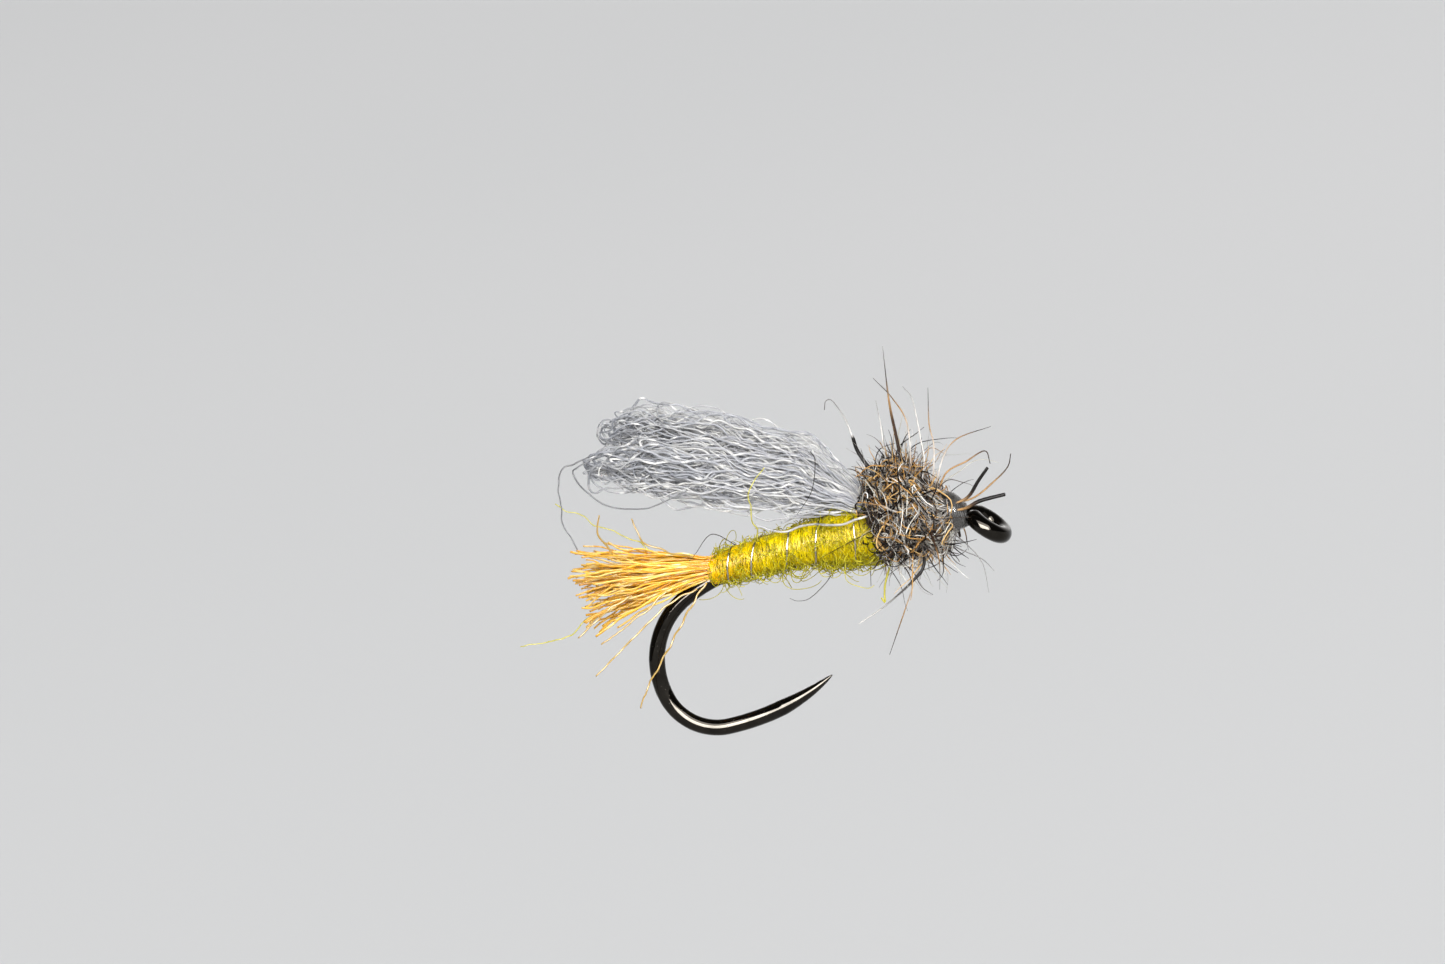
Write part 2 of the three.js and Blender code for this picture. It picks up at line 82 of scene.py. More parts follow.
def srgb(red, green, blue):
    """An 8-bit sRGB colour as a linear RGBA tuple."""
    def linear(value):
        value /= 255
        return value / 12.92 if value <= 0.04045 else ((value + 0.055) / 1.055) ** 2.4
    return (linear(red), linear(green), linear(blue), 1.0)


def smooth(low, high, value):
    """Rises smoothly from 0 at low to 1 at high."""
    t = np.clip((np.asarray(value, float) - low) / (high - low), 0, 1)
    return t * t * (3 - 2 * t)


def unit(vectors):
    return vectors / np.maximum(np.linalg.norm(vectors, axis=-1, keepdims=True), 1e-9)


def spline(points, count):
    """A smooth curve through a few points (a Catmull-Rom spline), sampled evenly along its length."""
    points = np.asarray(points, float)
    padded = np.vstack([2 * points[0] - points[1], points, 2 * points[-1] - points[-2]])
    t = np.linspace(0, 1, 24)[:, None]
    stretches = []
    for a, b, c, d in zip(padded, padded[1:], padded[2:], padded[3:]):
        square = (2 * a - 5 * b + 4 * c - d) * t**2
        cube = (3 * b - a - 3 * c + d) * t**3
        stretches.append(0.5 * (2 * b + (c - a) * t + square + cube))
    dense = np.vstack(stretches)
    length = np.concatenate([[0], np.cumsum(np.linalg.norm(np.diff(dense, axis=0), axis=1))])
    even = np.linspace(0, length[-1], count)
    return np.stack([np.interp(even, length, dense[:, k]) for k in range(3)], axis=1)


def table(rows, x):
    """Reads a table of (x, value, value...) rows at x, easing a little from row to row."""
    rows = np.asarray(sorted(rows), float)
    order = np.clip(np.searchsorted(rows[:, 0], x) - 1, 0, len(rows) - 2)
    low, high = rows[order], rows[order + 1]
    t = np.clip((x - low[..., 0]) / (high[..., 0] - low[..., 0]), 0, 1)
    ease = 0.35
    t = (ease * t * t * (3 - 2 * t) + (1 - ease) * t)[..., None]
    return np.moveaxis(low[..., 1:] * (1 - t) + high[..., 1:] * t, -1, 0)


def around(sides):
    """The angles of evenly spaced points round a ring."""
    return FULL_TURN * np.arange(sides) / sides


# ---- mesh building ----

def grid_mesh(name, rings):
    """A closed mesh through rings of points, an array of (rings, sides, 3) in millimetres."""
    count, sides = rings.shape[:2]
    here = np.arange(count - 1)[:, None] * sides
    after = here + sides
    j = np.arange(sides)[None, :]
    across = (j + 1) % sides
    quads = np.stack([here + j, here + across, after + across, after + j], axis=-1).reshape(-1, 4)
    ends = [list(range(sides))[::-1], list(range((count - 1) * sides, count * sides))]
    mesh = bpy.data.meshes.new(name)
    mesh.from_pydata(rings.reshape(-1, 3) * MM, [], quads.tolist() + ends)
    mesh.shade_smooth()
    return mesh


def frames_along(paths):
    """Two unit vectors square to each path at each point, carried along without twist."""
    tangents = unit(np.gradient(paths, axis=1))
    start = np.cross(tangents[:, 0], [0.31, 0.87, 0.38])  # a direction that no fibre starts along
    normals = np.empty_like(paths)
    normals[:, 0] = unit(start)
    for k in range(1, paths.shape[1]):
        carried = normals[:, k - 1]
        along = (carried * tangents[:, k]).sum(axis=1, keepdims=True)
        normals[:, k] = unit(carried - along * tangents[:, k])
    return normals, np.cross(tangents, normals)


def fibre_mesh(name, paths, radii, sides, shade=None, flatten=1.0):
    """Many closed tubes in one mesh, in millimetres: paths is (fibres, points, 3), and radii fits
    (fibres, points). Each vertex carries its fibre's shade, from 0 to 1, and its way along the fibre."""
    fibres, count = paths.shape[:2]
    radii = np.broadcast_to(radii, (fibres, count))
    normals, binormals = frames_along(paths)
    angle = around(sides)
    ring = (
        normals[:, :, None] * np.cos(angle)[:, None]
        + binormals[:, :, None] * (np.sin(angle)[:, None] * flatten)
    )
    vertices = paths[:, :, None] + ring * radii[:, :, None, None]
    f = np.arange(fibres)[:, None, None] * count * sides
    i = np.arange(count - 1)[None, :, None] * sides
    j = np.arange(sides)[None, None, :]
    across = (j + 1) % sides
    here, after = f + i, f + i + sides
    quads = np.stack([here + j, here + across, after + across, after + j], axis=-1).reshape(-1, 4)
    base = f[:, 0]
    caps = np.concatenate([
        base + np.arange(sides)[::-1][None],
        base + (count - 1) * sides + np.arange(sides)[None],
    ])
    mesh = bpy.data.meshes.new(name)
    mesh.vertices.add(vertices.size // 3)
    mesh.vertices.foreach_set("co", (vertices * MM).ravel())
    corners = np.concatenate([quads.ravel(), caps.ravel()])
    starts = np.concatenate([
        np.arange(len(quads)) * 4,
        quads.size + np.arange(len(caps)) * sides,
    ])
    mesh.loops.add(len(corners))
    mesh.loops.foreach_set("vertex_index", corners)
    mesh.polygons.add(len(starts))
    mesh.polygons.foreach_set("loop_start", starts)
    mesh.update(calc_edges=True)
    mesh.validate()
    mesh.shade_smooth()
    shade = np.full(fibres, 0.5) if shade is None else shade
    along = np.linspace(0, 1, count)
    add_attribute(mesh, "shade", np.repeat(shade, count * sides))
    add_attribute(mesh, "along", np.tile(np.repeat(along, sides), fibres))
    return mesh


def add_attribute(mesh, name, values):
    mesh.attributes.new(name, "FLOAT", "POINT").data.foreach_set("value", np.asarray(values, np.float32))


def piece(name, mesh, material, slot, *nodes):
    """A piece of the fly, which rides on its one body and stands for the CAD nodes that it replaces."""
    made = bpy.data.objects.new(name, mesh)
    bpy.context.scene.collection.objects.link(made)
    mesh.materials.append(material)
    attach(made, "root")
    if nodes:
        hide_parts(*nodes)
    return made


def fibre_piece(name, paths, radii, material, slot, *nodes, **look):
    """A piece made of tubes, where look is what fibre_mesh takes besides their paths and radii."""
    piece(name, fibre_mesh(name, paths, radii, **look), material, slot, *nodes)


# ---- materials ----

def add_node(tree, kind, inputs=(), **settings):
    """A new node, with its settings, and its inputs linked to sockets or set to values."""
    made = tree.nodes.new(kind)
    for key, value in settings.items():
        setattr(made, key, value)
    for socket, value in dict(inputs).items():
        if isinstance(value, bpy.types.NodeSocket):
            tree.links.new(value, made.inputs[socket])
        else:
            made.inputs[socket].default_value = value
    return made


class Shader:
    """A Principled material with short calls for its nodes."""

    def __init__(self, name, **constants):
        self.material = bpy.data.materials.new(name)
        self.material.use_nodes = True
        self.tree = self.material.node_tree
        self.surface = self.tree.nodes["Principled BSDF"]
        for socket, value in constants.items():
            self.surface.inputs[socket.replace("_", " ")].default_value = value

    def node(self, kind, inputs=(), **settings):
        return add_node(self.tree, kind, inputs, **settings)

    def math(self, operation, first, second):
        return self.node("ShaderNodeMath", {0: first, 1: second}, operation=operation).outputs[0]

    def attribute(self, name):
        return self.node("ShaderNodeAttribute", attribute_name=name).outputs["Fac"]

    def place(self):
        return self.node("ShaderNodeTexCoord").outputs["Object"]

    def noise(self, size_mm, detail=3.0, stretch=(1, 1, 1), by_fibre=False):
        """Noise with features of about that size, stretched by its factors along X, Y and Z.
        With by_fibre, each fibre has its own."""
        scale = tuple(1 / factor for factor in stretch)
        mapping = self.node("ShaderNodeMapping", {"Vector": self.place(), "Scale": scale})
        inputs = {"Vector": mapping.outputs[0], "Scale": 1 / (size_mm * MM), "Detail": detail}
        if not by_fibre:
            return self.node("ShaderNodeTexNoise", inputs).outputs["Fac"]
        inputs["W"] = self.math("MULTIPLY", self.attribute("shade"), FIBRE_NOISE_SHIFT)
        return self.node("ShaderNodeTexNoise", inputs, noise_dimensions="4D").outputs["Fac"]

    def fibre_shade(self):
        """A value that differs from fibre to fibre and in small patches along each."""
        total = self.math("ADD", self.attribute("shade"), self.noise(0.25, 2))
        return self.math("MULTIPLY", total, 0.5)

    def ramp(self, factor, stops):
        made = self.node("ShaderNodeValToRGB", {"Fac": factor})
        elements = made.color_ramp.elements
        while len(elements) < len(stops):
            elements.new(0.5)
        for element, (position, colour) in zip(elements, stops):
            element.position = position
            element.color = colour
        return made.outputs["Color"]

    def mix(self, factor, first, second, blend="MIX"):
        # the colour sockets of a Mix node are the ones numbered 6 and 7, and 2 on the way out
        colours = {0: factor, 6: first, 7: second}
        return self.node("ShaderNodeMix", colours, data_type="RGBA", blend_type=blend).outputs[2]

    def mask(self, factor, *stops):
        """A ramp from black to white through (position, brightness) stops."""
        return self.ramp(factor, [(position, (level, level, level, 1)) for position, level in stops])

    def spread(self, factor, low, high, start=0.0, end=1.0):
        """Runs from low to high as the factor runs from start to end."""
        reach = {"From Min": start, "From Max": end, "To Min": low, "To Max": high}
        return self.node("ShaderNodeMapRange", {"Value": factor, **reach}).outputs["Result"]

    def colour(self, socket):
        self.tree.links.new(socket, self.surface.inputs["Base Color"])

    def roughness(self, socket):
        self.tree.links.new(socket, self.surface.inputs["Roughness"])

    def bump(self, height, strength, depth_mm):
        made = self.node("ShaderNodeBump", {
            "Height": height, "Strength": strength, "Distance": depth_mm * MM,
        })
        self.tree.links.new(made.outputs[0], self.surface.inputs["Normal"])


def black_nickel():
    """Dark mirror plating with faint drawing marks and specks."""
    shader = Shader("black_nickel", Metallic=1.0)
    shader.colour(shader.ramp(shader.noise(0.35, 4), [(0.3, srgb(40, 38, 35)), (0.7, srgb(52, 49, 45))]))
    specks = shader.mask(shader.noise(0.06, 2), (0.66, 0), (0.72, 1))
    shader.roughness(shader.spread(specks, 0.07, 0.4))
    shader.bump(shader.noise(0.09, 4), 0.25, 0.004)
    return shader.material


def silver_wire():
    shader = Shader("silver_wire", Metallic=1.0)
    shader.colour(shader.ramp(shader.noise(0.2), [(0.3, srgb(136, 130, 116)), (0.7, srgb(190, 184, 170))]))
    shader.roughness(shader.spread(shader.noise(0.08), 0.1, 0.26))
    return shader.material


def filament(name, stops, **constants):
    """A fine fibre, whose colour varies from fibre to fibre and in small patches."""
    shader = Shader(name, **constants)
    shader.colour(shader.ramp(shader.fibre_shade(), stops))
    return shader.material


# ---- hook ----

def arc(centre, radius, start, end, count):
    angle = np.radians(np.linspace(start, end, count))
    return np.stack([
        centre[0] + radius * np.cos(angle),
        np.zeros(count),
        centre[1] + radius * np.sin(angle),
    ], axis=1)


def wire_path():
    """The hook's centreline from its point, round the bend, along the shank and round the eye."""
    radius, turn = POINT_ARC
    stretches = [arc((0, radius), radius, 270 + turn, 270, 60)]
    angle = 270.0
    end = np.zeros(2)
    for radius, turn in BEND_ARCS:
        toward = np.array([math.cos(math.radians(angle)), math.sin(math.radians(angle))])
        centre = end - radius * toward
        stretches.append(arc(centre, radius, angle, angle - turn, 50)[1:])
        angle -= turn
        end = stretches[-1][-1, [0, 2]]
    neck = np.array([SHANK_END_X - NECK_LENGTH, 0, SHANK_Z])
    stretches.append(np.linspace(stretches[-1][-1], neck, 90)[1:])
    down = np.array([math.cos(math.radians(EYE_TILT)), 0, -math.sin(math.radians(EYE_TILT))])
    theta = np.radians(np.linspace(40, 334, 110))[:, None]
    ring = EYE_CENTRE + EYE_RING_RADIUS * (-np.cos(theta) * down + np.sin(theta) * np.array([0, 1.0, 0]))
    # the wire leaves the shank a little to one side and runs into the ring tangentially
    stretches.append(spline([neck, neck + [0.15, 0.05, 0], ring[0], ring[8]], 16)[1:-5])
    stretches.append(ring[3:])
    return np.vstack(stretches)


def hook():
    path = wire_path()
    step = np.linalg.norm(np.diff(path, axis=0), axis=1)
    travelled = np.concatenate([[0], np.cumsum(step)])
    taper = np.clip(travelled / POINT_TAPER_LENGTH, 0, 1) ** POINT_TAPER_POWER
    radius = np.maximum(POINT_TIP_RADIUS, WIRE_RADIUS * taper)
    into_eye = smooth(SHANK_END_X - NECK_LENGTH, SHANK_END_X, path[:, 0])
    radius = radius * (1 - into_eye) + EYE_WIRE_RADIUS * into_eye
    # the cut end of the wire, in the eye, is slightly rounded
    radius *= 0.82 + 0.18 * smooth(0, 0.1, travelled[-1] - travelled)
    in_bend = smooth(3.2, 1.2, path[:, 0]) * smooth(0.2, 1.6, travelled) * (path[:, 0] < 4)
    flat = np.minimum(1, (WIRE_RADIUS + (FORGED_HALF - WIRE_RADIUS) * in_bend) / WIRE_RADIUS)
    tangents = unit(np.gradient(path, axis=0))
    angle = around(32)
    # the bend lies in the plane y = 0, so one normal is Y there; the eye turns out of it
    normal = np.tile(np.array([0, 1.0, 0]), (len(path), 1))
    for k in range(1, len(path)):
        carried = normal[k - 1]
        normal[k] = unit(carried - carried.dot(tangents[k]) * tangents[k])
    binormal = np.cross(tangents, normal)
    rings = (
        path[:, None]
        + normal[:, None] * (np.cos(angle)[None] * (radius * flat)[:, None])[..., None]
        + binormal[:, None] * (np.sin(angle)[None] * radius[:, None])[..., None]
    )
    piece("hook_wire", grid_mesh("hook_wire", rings), black_nickel(), "black_nickel", "hook")


# ---- thread ----

def thread_material(name, dark, light):
    shader = Shader(name, Roughness=0.5)
    shader.colour(shader.ramp(shader.noise(0.06, 4), [(0.3, dark), (0.7, light)]))
    shader.bump(shader.noise(0.02, 3, stretch=(1, 4, 4)), 0.5, 0.008)
    return shader.material


THREAD_RADIUS = 0.03
THREAD_UNEVENNESS = 0.008


def thread_turns(name, rows, turns, thread_radius, material, *nodes):
    """Turns of thread laid side by side over a form given by (x, height of the centre, radius) rows."""
    points_per_turn = 30
    count = int(turns * points_per_turn)
    t = np.linspace(0, 1, count)
    angle = FULL_TURN * turns * t
    x = rows[0][0] + (rows[-1][0] - rows[0][0]) * t
    height, radius = table(rows, x)
    reach = radius + THREAD_UNEVENNESS * np.sin(angle * 2.7) - thread_radius
    path = np.stack([x, reach * np.cos(angle), height + reach * np.sin(angle)], axis=1)[None]
    fibre_piece(name, path, thread_radius, material, "thread", *nodes, sides=8)


def surface_of_revolution(name, rows, stations, sides, grow=0.0, bumps=0.0, seed=0):
    """A closed form round the fly's length, from (x, height of the centre, radius) rows, with low bumps."""
    rng = np.random.default_rng(seed)
    x = np.linspace(rows[0][0], rows[-1][0], stations)
    angle = around(sides)
    height, radius = table(rows, x)
    reach = (radius + grow)[:, None] * np.ones(sides)
    waves = 14
    for _ in range(waves):
        wave = rng.uniform(1, 9) * x[:, None] + rng.integers(1, 6) * angle[None] + rng.uniform(0, 6.3)
        reach = reach + bumps * np.sin(wave) / 4
    rings = np.stack([
        np.repeat(x[:, None], sides, axis=1),
        reach * np.cos(angle),
        height[:, None] + reach * np.sin(angle),
    ], axis=-1)
    return grid_mesh(name, rings)


# x, height of the centre, radius
HEAD = ((7.72, 4.76, 0.5), (7.88, 4.75, 0.55), (8.05, 4.7, 0.5), (8.2, 4.61, 0.4), (8.3, 4.54, 0.3))
TAIL_BINDING = ((0.66, 4.52, 0.31), (0.9, 4.55, 0.33))
WING_BINDING = ((5.76, 4.67, 0.6), (5.94, 4.67, 0.6))
UNDERBODY = ((1.62, 4.46, 0.28), (2.2, 4.49, 0.29), (7.7, 4.49, 0.29))


def bindings(material):
    thread_turns("head_thread", HEAD, 11, THREAD_RADIUS, material, "thread_head")
    piece("head_core", surface_of_revolution("head_core", HEAD, 40, 48, -0.045), material, "thread")
    thread_turns("tail_binding_thread", TAIL_BINDING, 5, THREAD_RADIUS, material, "tail_binding")
    thread_turns("wing_binding_thread", WING_BINDING, 4, THREAD_RADIUS, material, "wing_binding")
    thread_turns("underbody_turns", UNDERBODY, 70, 0.035, material, "underbody_thread")


def head_cement():
    shader = Shader("head_cement", Roughness=0.05, Alpha=0.4, Coat_Weight=1.0, Coat_Roughness=0.03)
    shader.colour(shader.ramp(shader.noise(0.3), [(0.3, srgb(40, 39, 38)), (0.7, srgb(96, 94, 92))]))
    mesh = surface_of_revolution("head_cement_coat", HEAD, 40, 48, 0.03, bumps=0.02, seed=9)
    piece("head_cement_coat", mesh, shader.material, "cement", "head_cement")


# ---- fibres that stand off a body ----

def phases(rng, fibres):
    """Where each fibre's wave starts."""
    return rng.uniform(0, 6.3, (fibres, 1))


def curled(rng, roots, directions, lengths, bends, count):
    """Fibres that leave their roots in the given directions and keep turning. The bends are in radians
    a millimetre."""
    fibres = len(roots)
    sideways = unit(np.cross(directions, rng.standard_normal((fibres, 3))))
    step = (lengths / (count - 1))[:, None]
    travelled = step * np.arange(count)[None]
    turn = bends[:, None] * travelled
    wave = travelled * rng.uniform(3, 9, (fibres, 1)) + phases(rng, fibres)
    turn = (turn + 0.25 * np.sin(wave))[..., None]
    heading = directions[:, None] * np.cos(turn) + sideways[:, None] * np.sin(turn)
    moved = np.cumsum(heading * step[..., None], axis=1)
    return roots[:, None] + moved - moved[:, :1]


def scattered(rng, outward, spread):
    """Directions round the outward ones."""
    return unit(outward + spread * rng.standard_normal(outward.shape))


# ---- abdomen ----

# x, height of the centre, radius
ABDOMEN = (
    (0.6, 4.53, 0.38), (0.9, 4.58, 0.42), (1.3, 4.62, 0.45), (2.0, 4.66, 0.48), (2.9, 4.71, 0.53),
    (3.5, 4.73, 0.58), (4.0, 4.73, 0.65), (4.6, 4.7, 0.74), (5.25, 4.66, 0.78), (5.7, 4.65, 0.68),
)
# each turn of the rib and where along X it crosses the near side
RIB_STATIONS = ((-1, 0.9), (0, 1.22), (1, 1.95), (2, 3.04), (3, 3.9), (4, 5.08), (5, 5.3))
RIB_RADIUS = 0.03
RIB_BITE = 0.035  # how far the rib pulls the body in
DUBBING_RADIUS = 0.0155
FUZZ_RADIUS = 0.0145


def near_rib(x):
    """1 where the rib pulls the body in, and 0 between its turns."""
    gaps = [np.abs(x - station) for _, station in RIB_STATIONS[:-1]]
    return np.exp(-(np.min(gaps, axis=0) / 0.12) ** 2)


def on_abdomen(x, angle, standoff=0.0):
    """A point of the body's surface, pulled in where the rib bites."""
    height, radius = table(ABDOMEN, x)
    reach = radius + standoff - RIB_BITE * near_rib(x)
    return np.stack([x, reach * np.cos(angle), height + reach * np.sin(angle)], axis=-1)


def abdomen_core():
    shader = Shader("dubbing_core", Roughness=0.7, Specular_IOR_Level=0.2)
    wound = (0.3, 1, 1)
    tone = shader.noise(0.1, 4, stretch=wound)
    shader.colour(shader.ramp(tone, [(0.25, srgb(132, 106, 0)), (0.75, srgb(214, 180, 0))]))
    shader.bump(shader.noise(0.05, 3, stretch=wound), 0.8, 0.03)
    mesh = surface_of_revolution("abdomen_core", ABDOMEN, 120, 64, -0.05, bumps=0.015, seed=3)
    piece("abdomen_core", mesh, shader.material, "dubbing", "abdomen_dubbing")


def dubbing_material():
    """Yellow-olive fur, warmer towards the rear, where the shuck shows through."""
    shader = Shader("dubbing_fibres", Roughness=0.3, Specular_IOR_Level=0.18)
    olive = shader.ramp(shader.fibre_shade(), [
        (0.12, srgb(134, 114, 0)), (0.4, srgb(202, 180, 0)),
        (0.7, srgb(234, 212, 0)), (0.95, srgb(252, 236, 60)),
    ])
    station = shader.node("ShaderNodeSeparateXYZ", {"Vector": shader.place()}).outputs["X"]
    rear = shader.spread(station, 0.5, 0.0, start=0.6 * MM, end=2.6 * MM)
    shader.colour(shader.mix(rear, olive, srgb(226, 158, 0)))
    return shader.material


def abdomen_fibres():
    """Fibres wound tightly round the body, and more ruffled towards its front."""
    rng = np.random.default_rng(11)
    fibres, count = 3900, 9
    x = rng.uniform(0.66, 5.65, fibres)[:, None]
    t = np.linspace(0, 1, count)[None]
    span = rng.uniform(0.4, 1.8, fibres)[:, None]
    angle = rng.uniform(0, FULL_TURN, fibres)[:, None] - span * t
    ruffled = smooth(3.6, 5.0, x)
    drift = rng.normal(0.05, 0.05 + 0.22 * ruffled) * t
    phase = rng.uniform(3, 9, (fibres, 1)) * t + phases(rng, fibres)
    wave = (0.015 + 0.035 * ruffled) * np.sin(phase)
    base = 0.02 * rng.random((fibres, 1))
    lift = base + (0.03 + 0.05 * ruffled) * np.sin(np.pi * t) * rng.random((fibres, 1)) ** 3
    place = np.clip(x + drift + wave, 0.62, 5.7)
    paths = on_abdomen(place, angle, lift - 0.012)
    radii = DUBBING_RADIUS * (0.55 + 0.45 * np.sin(np.pi * t))
    # neighbouring fibres share part of their shade, so that they read as locks
    lock = 0.5 + 0.5 * np.sin(23 * x[:, 0] + 3 * np.sin(2 * angle[:, 0])) * np.sin(9 * x[:, 0] + 4)
    shade = 0.45 * lock + 0.55 * rng.random(fibres)
    fibre_piece("abdomen_fibres", paths, radii, dubbing_material(), "dubbing", sides=3, shade=shade)


def abdomen_fuzz():
    """Fibres that stand off the body, most of them curled into small loops, thickest below and in front."""
    material = filament(
        "dubbing_fuzz",
        [(0.15, srgb(122, 114, 0)), (0.5, srgb(172, 162, 8)), (0.85, srgb(212, 202, 50))],
        Roughness=0.4, Specular_IOR_Level=0.15,
    )
    rng = np.random.default_rng(12)
    fibres, count = 1700, 16
    x = rng.uniform(0.8, 5.6, fibres)
    x = np.where(rng.random(fibres) < 0.4, rng.uniform(3.9, 5.65, fibres), x)
    below = rng.random(fibres) < 0.55
    above = rng.normal(0.5 * np.pi, 0.9, fibres)
    angle = np.where(below, rng.normal(1.5 * np.pi, 0.5, fibres), above)
    outward = np.stack([np.zeros(fibres), np.cos(angle), np.sin(angle)], axis=1)
    long_ones = rng.random(fibres) < 0.1
    lengths = rng.uniform(0.25, 0.7, fibres) * (1 + 1.2 * long_ones) * (1 + 0.35 * below)
    bends = rng.uniform(3, 11, fibres) * rng.choice([-1, 1], fibres) / (1 + 0.9 * long_ones)
    directions = scattered(rng, outward, 0.8)
    directions = unit(directions + outward * np.clip(-(directions * outward).sum(1), 0, 1)[:, None] * 2)
    paths = curled(rng, on_abdomen(x, angle, -0.02), directions, lengths, bends, count)
    radii = FUZZ_RADIUS * (1 - 0.3 * np.linspace(0, 1, count))
    fibre_piece("abdomen_fuzz", paths, radii, material, "dubbing", sides=3, shade=rng.random(fibres))


def rib():
    count = 420
    turn = np.linspace(-0.3, 4.15, count)
    x, = table(RIB_STATIONS, turn)
    angle = np.pi - FULL_TURN * turn
    path = on_abdomen(x + 0.06 * np.sin(angle), angle, 0.05)[None]
    fibre_piece("rib_silver_wire", path, RIB_RADIUS, silver_wire(), "silver_wire", "rib_wire", sides=12)


# ---- wing ----

# Along each lobe: share of the way, x, y, z, half the width and half the height of the bunch.
WING_FAR = (
    (0.0, 6.1, 0.1, 5.0, 0.16, 0.14),
    (0.06, 5.6, 0.14, 5.3, 0.2, 0.22),
    (0.14, 5.05, 0.26, 5.9, 0.3, 0.45),
    (0.3, 3.85, 0.45, 6.9, 0.42, 0.78),
    (0.62, 1.6, 0.55, 8.1, 0.5, 0.85),
    (0.85, -0.35, 0.58, 8.8, 0.46, 0.72),
    (1.0, -1.65, 0.6, 9.02, 0.4, 0.6),
)
WING_NEAR = (
    (0.0, 6.1, -0.1, 4.98, 0.16, 0.14),
    (0.06, 5.55, -0.14, 5.25, 0.22, 0.2),
    (0.14, 4.95, -0.26, 5.75, 0.32, 0.38),
    (0.3, 3.7, -0.45, 6.42, 0.42, 0.74),
    (0.6, 1.35, -0.55, 7.44, 0.52, 0.9),
    (0.84, -0.7, -0.58, 8.08, 0.48, 0.76),
    (1.0, -2.1, -0.6, 8.42, 0.4, 0.62),
)
WING_FILAMENT_RADIUS = 0.034


def crinkle(rng, paths, size, wavelength, grows=0.0):
    """Moves fibres sideways in small irregular waves of about that size and wavelength, in millimetres."""
    fibres, count = paths.shape[:2]
    normals, binormals = frames_along(paths)
    steps = np.linalg.norm(np.diff(paths, axis=1), axis=2)
    s = np.concatenate([np.zeros((fibres, 1)), np.cumsum(steps, axis=1)], axis=1)
    along = np.linspace(0, 1, count)
    fade = smooth(0, 0.06, along) * (1 - grows * (1 - along))
    moved = paths.copy()
    for direction in (normals, binormals):
        offset = np.zeros((fibres, count))
        for factor in (1.0, 0.6, 0.36):
            period = wavelength * factor * rng.uniform(0.7, 1.4, (fibres, 1))
            slow = rng.uniform(0.3, 0.8, (fibres, 1)) / wavelength
            phase = phases(rng, fibres) + 1.5 * np.sin(s * slow)
            offset += factor**1.5 * np.sin(FULL_TURN * s / period + phase)
        amount = size * rng.uniform(0.3, 1.2, (fibres, 1)) / 1.5
        moved += direction * (offset * amount * fade)[..., None]
    return moved


def disc(rng, count, power=0.55):
    """Random points in a disc of radius 1."""
    angle = rng.uniform(0, FULL_TURN, count)
    radius = rng.random(count) ** power
    return np.stack([radius * np.cos(angle), radius * np.sin(angle)], axis=1)


def lobe_paths(rng, rows, fibres, count):
    """Filaments that run out along the lobe, turn round in a small loop near its end and come back."""
    v = np.linspace(-1, 1, count)
    v = (np.sign(v) * np.abs(v) ** 1.35)[None]
    out = disc(rng, fibres)
    back = out * 0.3 + 0.9 * disc(rng, fibres)
    edge = np.clip(np.linalg.norm(out + back, axis=1, keepdims=True) / 2, 0, 1)
    reach = 1 - 0.1 * edge**2 - 0.26 * rng.random((fibres, 1)) ** 2
    rounding = rng.uniform(0.015, 0.045, (fibres, 1))
    t = reach * (1 - (np.sqrt(v**2 + rounding**2) - rounding))
    t = reach * (t - t[:, :1]) / (t.max(axis=1, keepdims=True) - t[:, :1])
    loop_width = rng.uniform(0.025, 0.08, (fibres, 1))
    blend = smooth(-1, 1, v / loop_width)[..., None]
    offset = out[:, None] * (1 - blend) + back[:, None] * blend
    # each filament also drifts slowly across the bunch
    for axis in range(2):
        swing = rng.uniform(1.5, 4.5, (fibres, 1)) * v * np.pi + phases(rng, fibres)
        tangle = rng.uniform(7, 18, (fibres, 1)) * v * np.pi + phases(rng, fibres)
        offset[..., axis] += 0.32 * np.sin(swing) * smooth(0.05, 0.3, t)
        near_end = 1 + 2 * smooth(0.7, 1, t)
        offset[..., axis] += 0.05 * np.sin(tangle) * smooth(0.1, 0.4, t) * near_end
    x, y, z, half_width, half_height = table(rows, t)
    centre = np.stack([x, y, z], axis=-1)
    ahead = np.stack(table(rows, np.clip(t + 0.02, 0, 1))[:3], axis=-1)
    behind = np.stack(table(rows, np.clip(t - 0.02, 0, 1))[:3], axis=-1)
    tangent = unit(ahead - behind)
    up = unit(np.cross(tangent, [0, 1.0, 0]))
    up *= np.sign(up[..., 2:3] + 1e-9)
    side = np.cross(up, tangent)
    return (
        centre
        + side * (offset[..., 0] * half_width)[..., None]
        + up * (offset[..., 1] * half_height)[..., None]
    )


def wing_material():
    """Clear grey filament: see-through, dull for the most part, with short painted highlights: near-white
    glints in its colour.
    """
    shader = Shader("wing_filament", Specular_IOR_Level=0.24, Alpha=0.6)
    grey = shader.ramp(shader.fibre_shade(), [
        (0.15, srgb(160, 163, 170)), (0.5, srgb(186, 186, 190)), (0.85, srgb(208, 207, 203)),
    ])
    turn = shader.mask(shader.attribute("along"), (0.34, 0), (0.48, 0.75), (0.52, 0.75), (0.66, 0))
    grey = shader.mix(turn, grey, srgb(108, 112, 120))
    # painted highlight: short near-white patches, each fibre's own, put into the colour as glints of light
    painted_glint = shader.mask(shader.noise(0.5, 2, by_fibre=True), (0.55, 0), (0.66, 1))
    shader.colour(shader.mix(painted_glint, grey, srgb(248, 246, 242)))
    shader.roughness(shader.spread(painted_glint, 0.36, 0.16))
    return shader.material


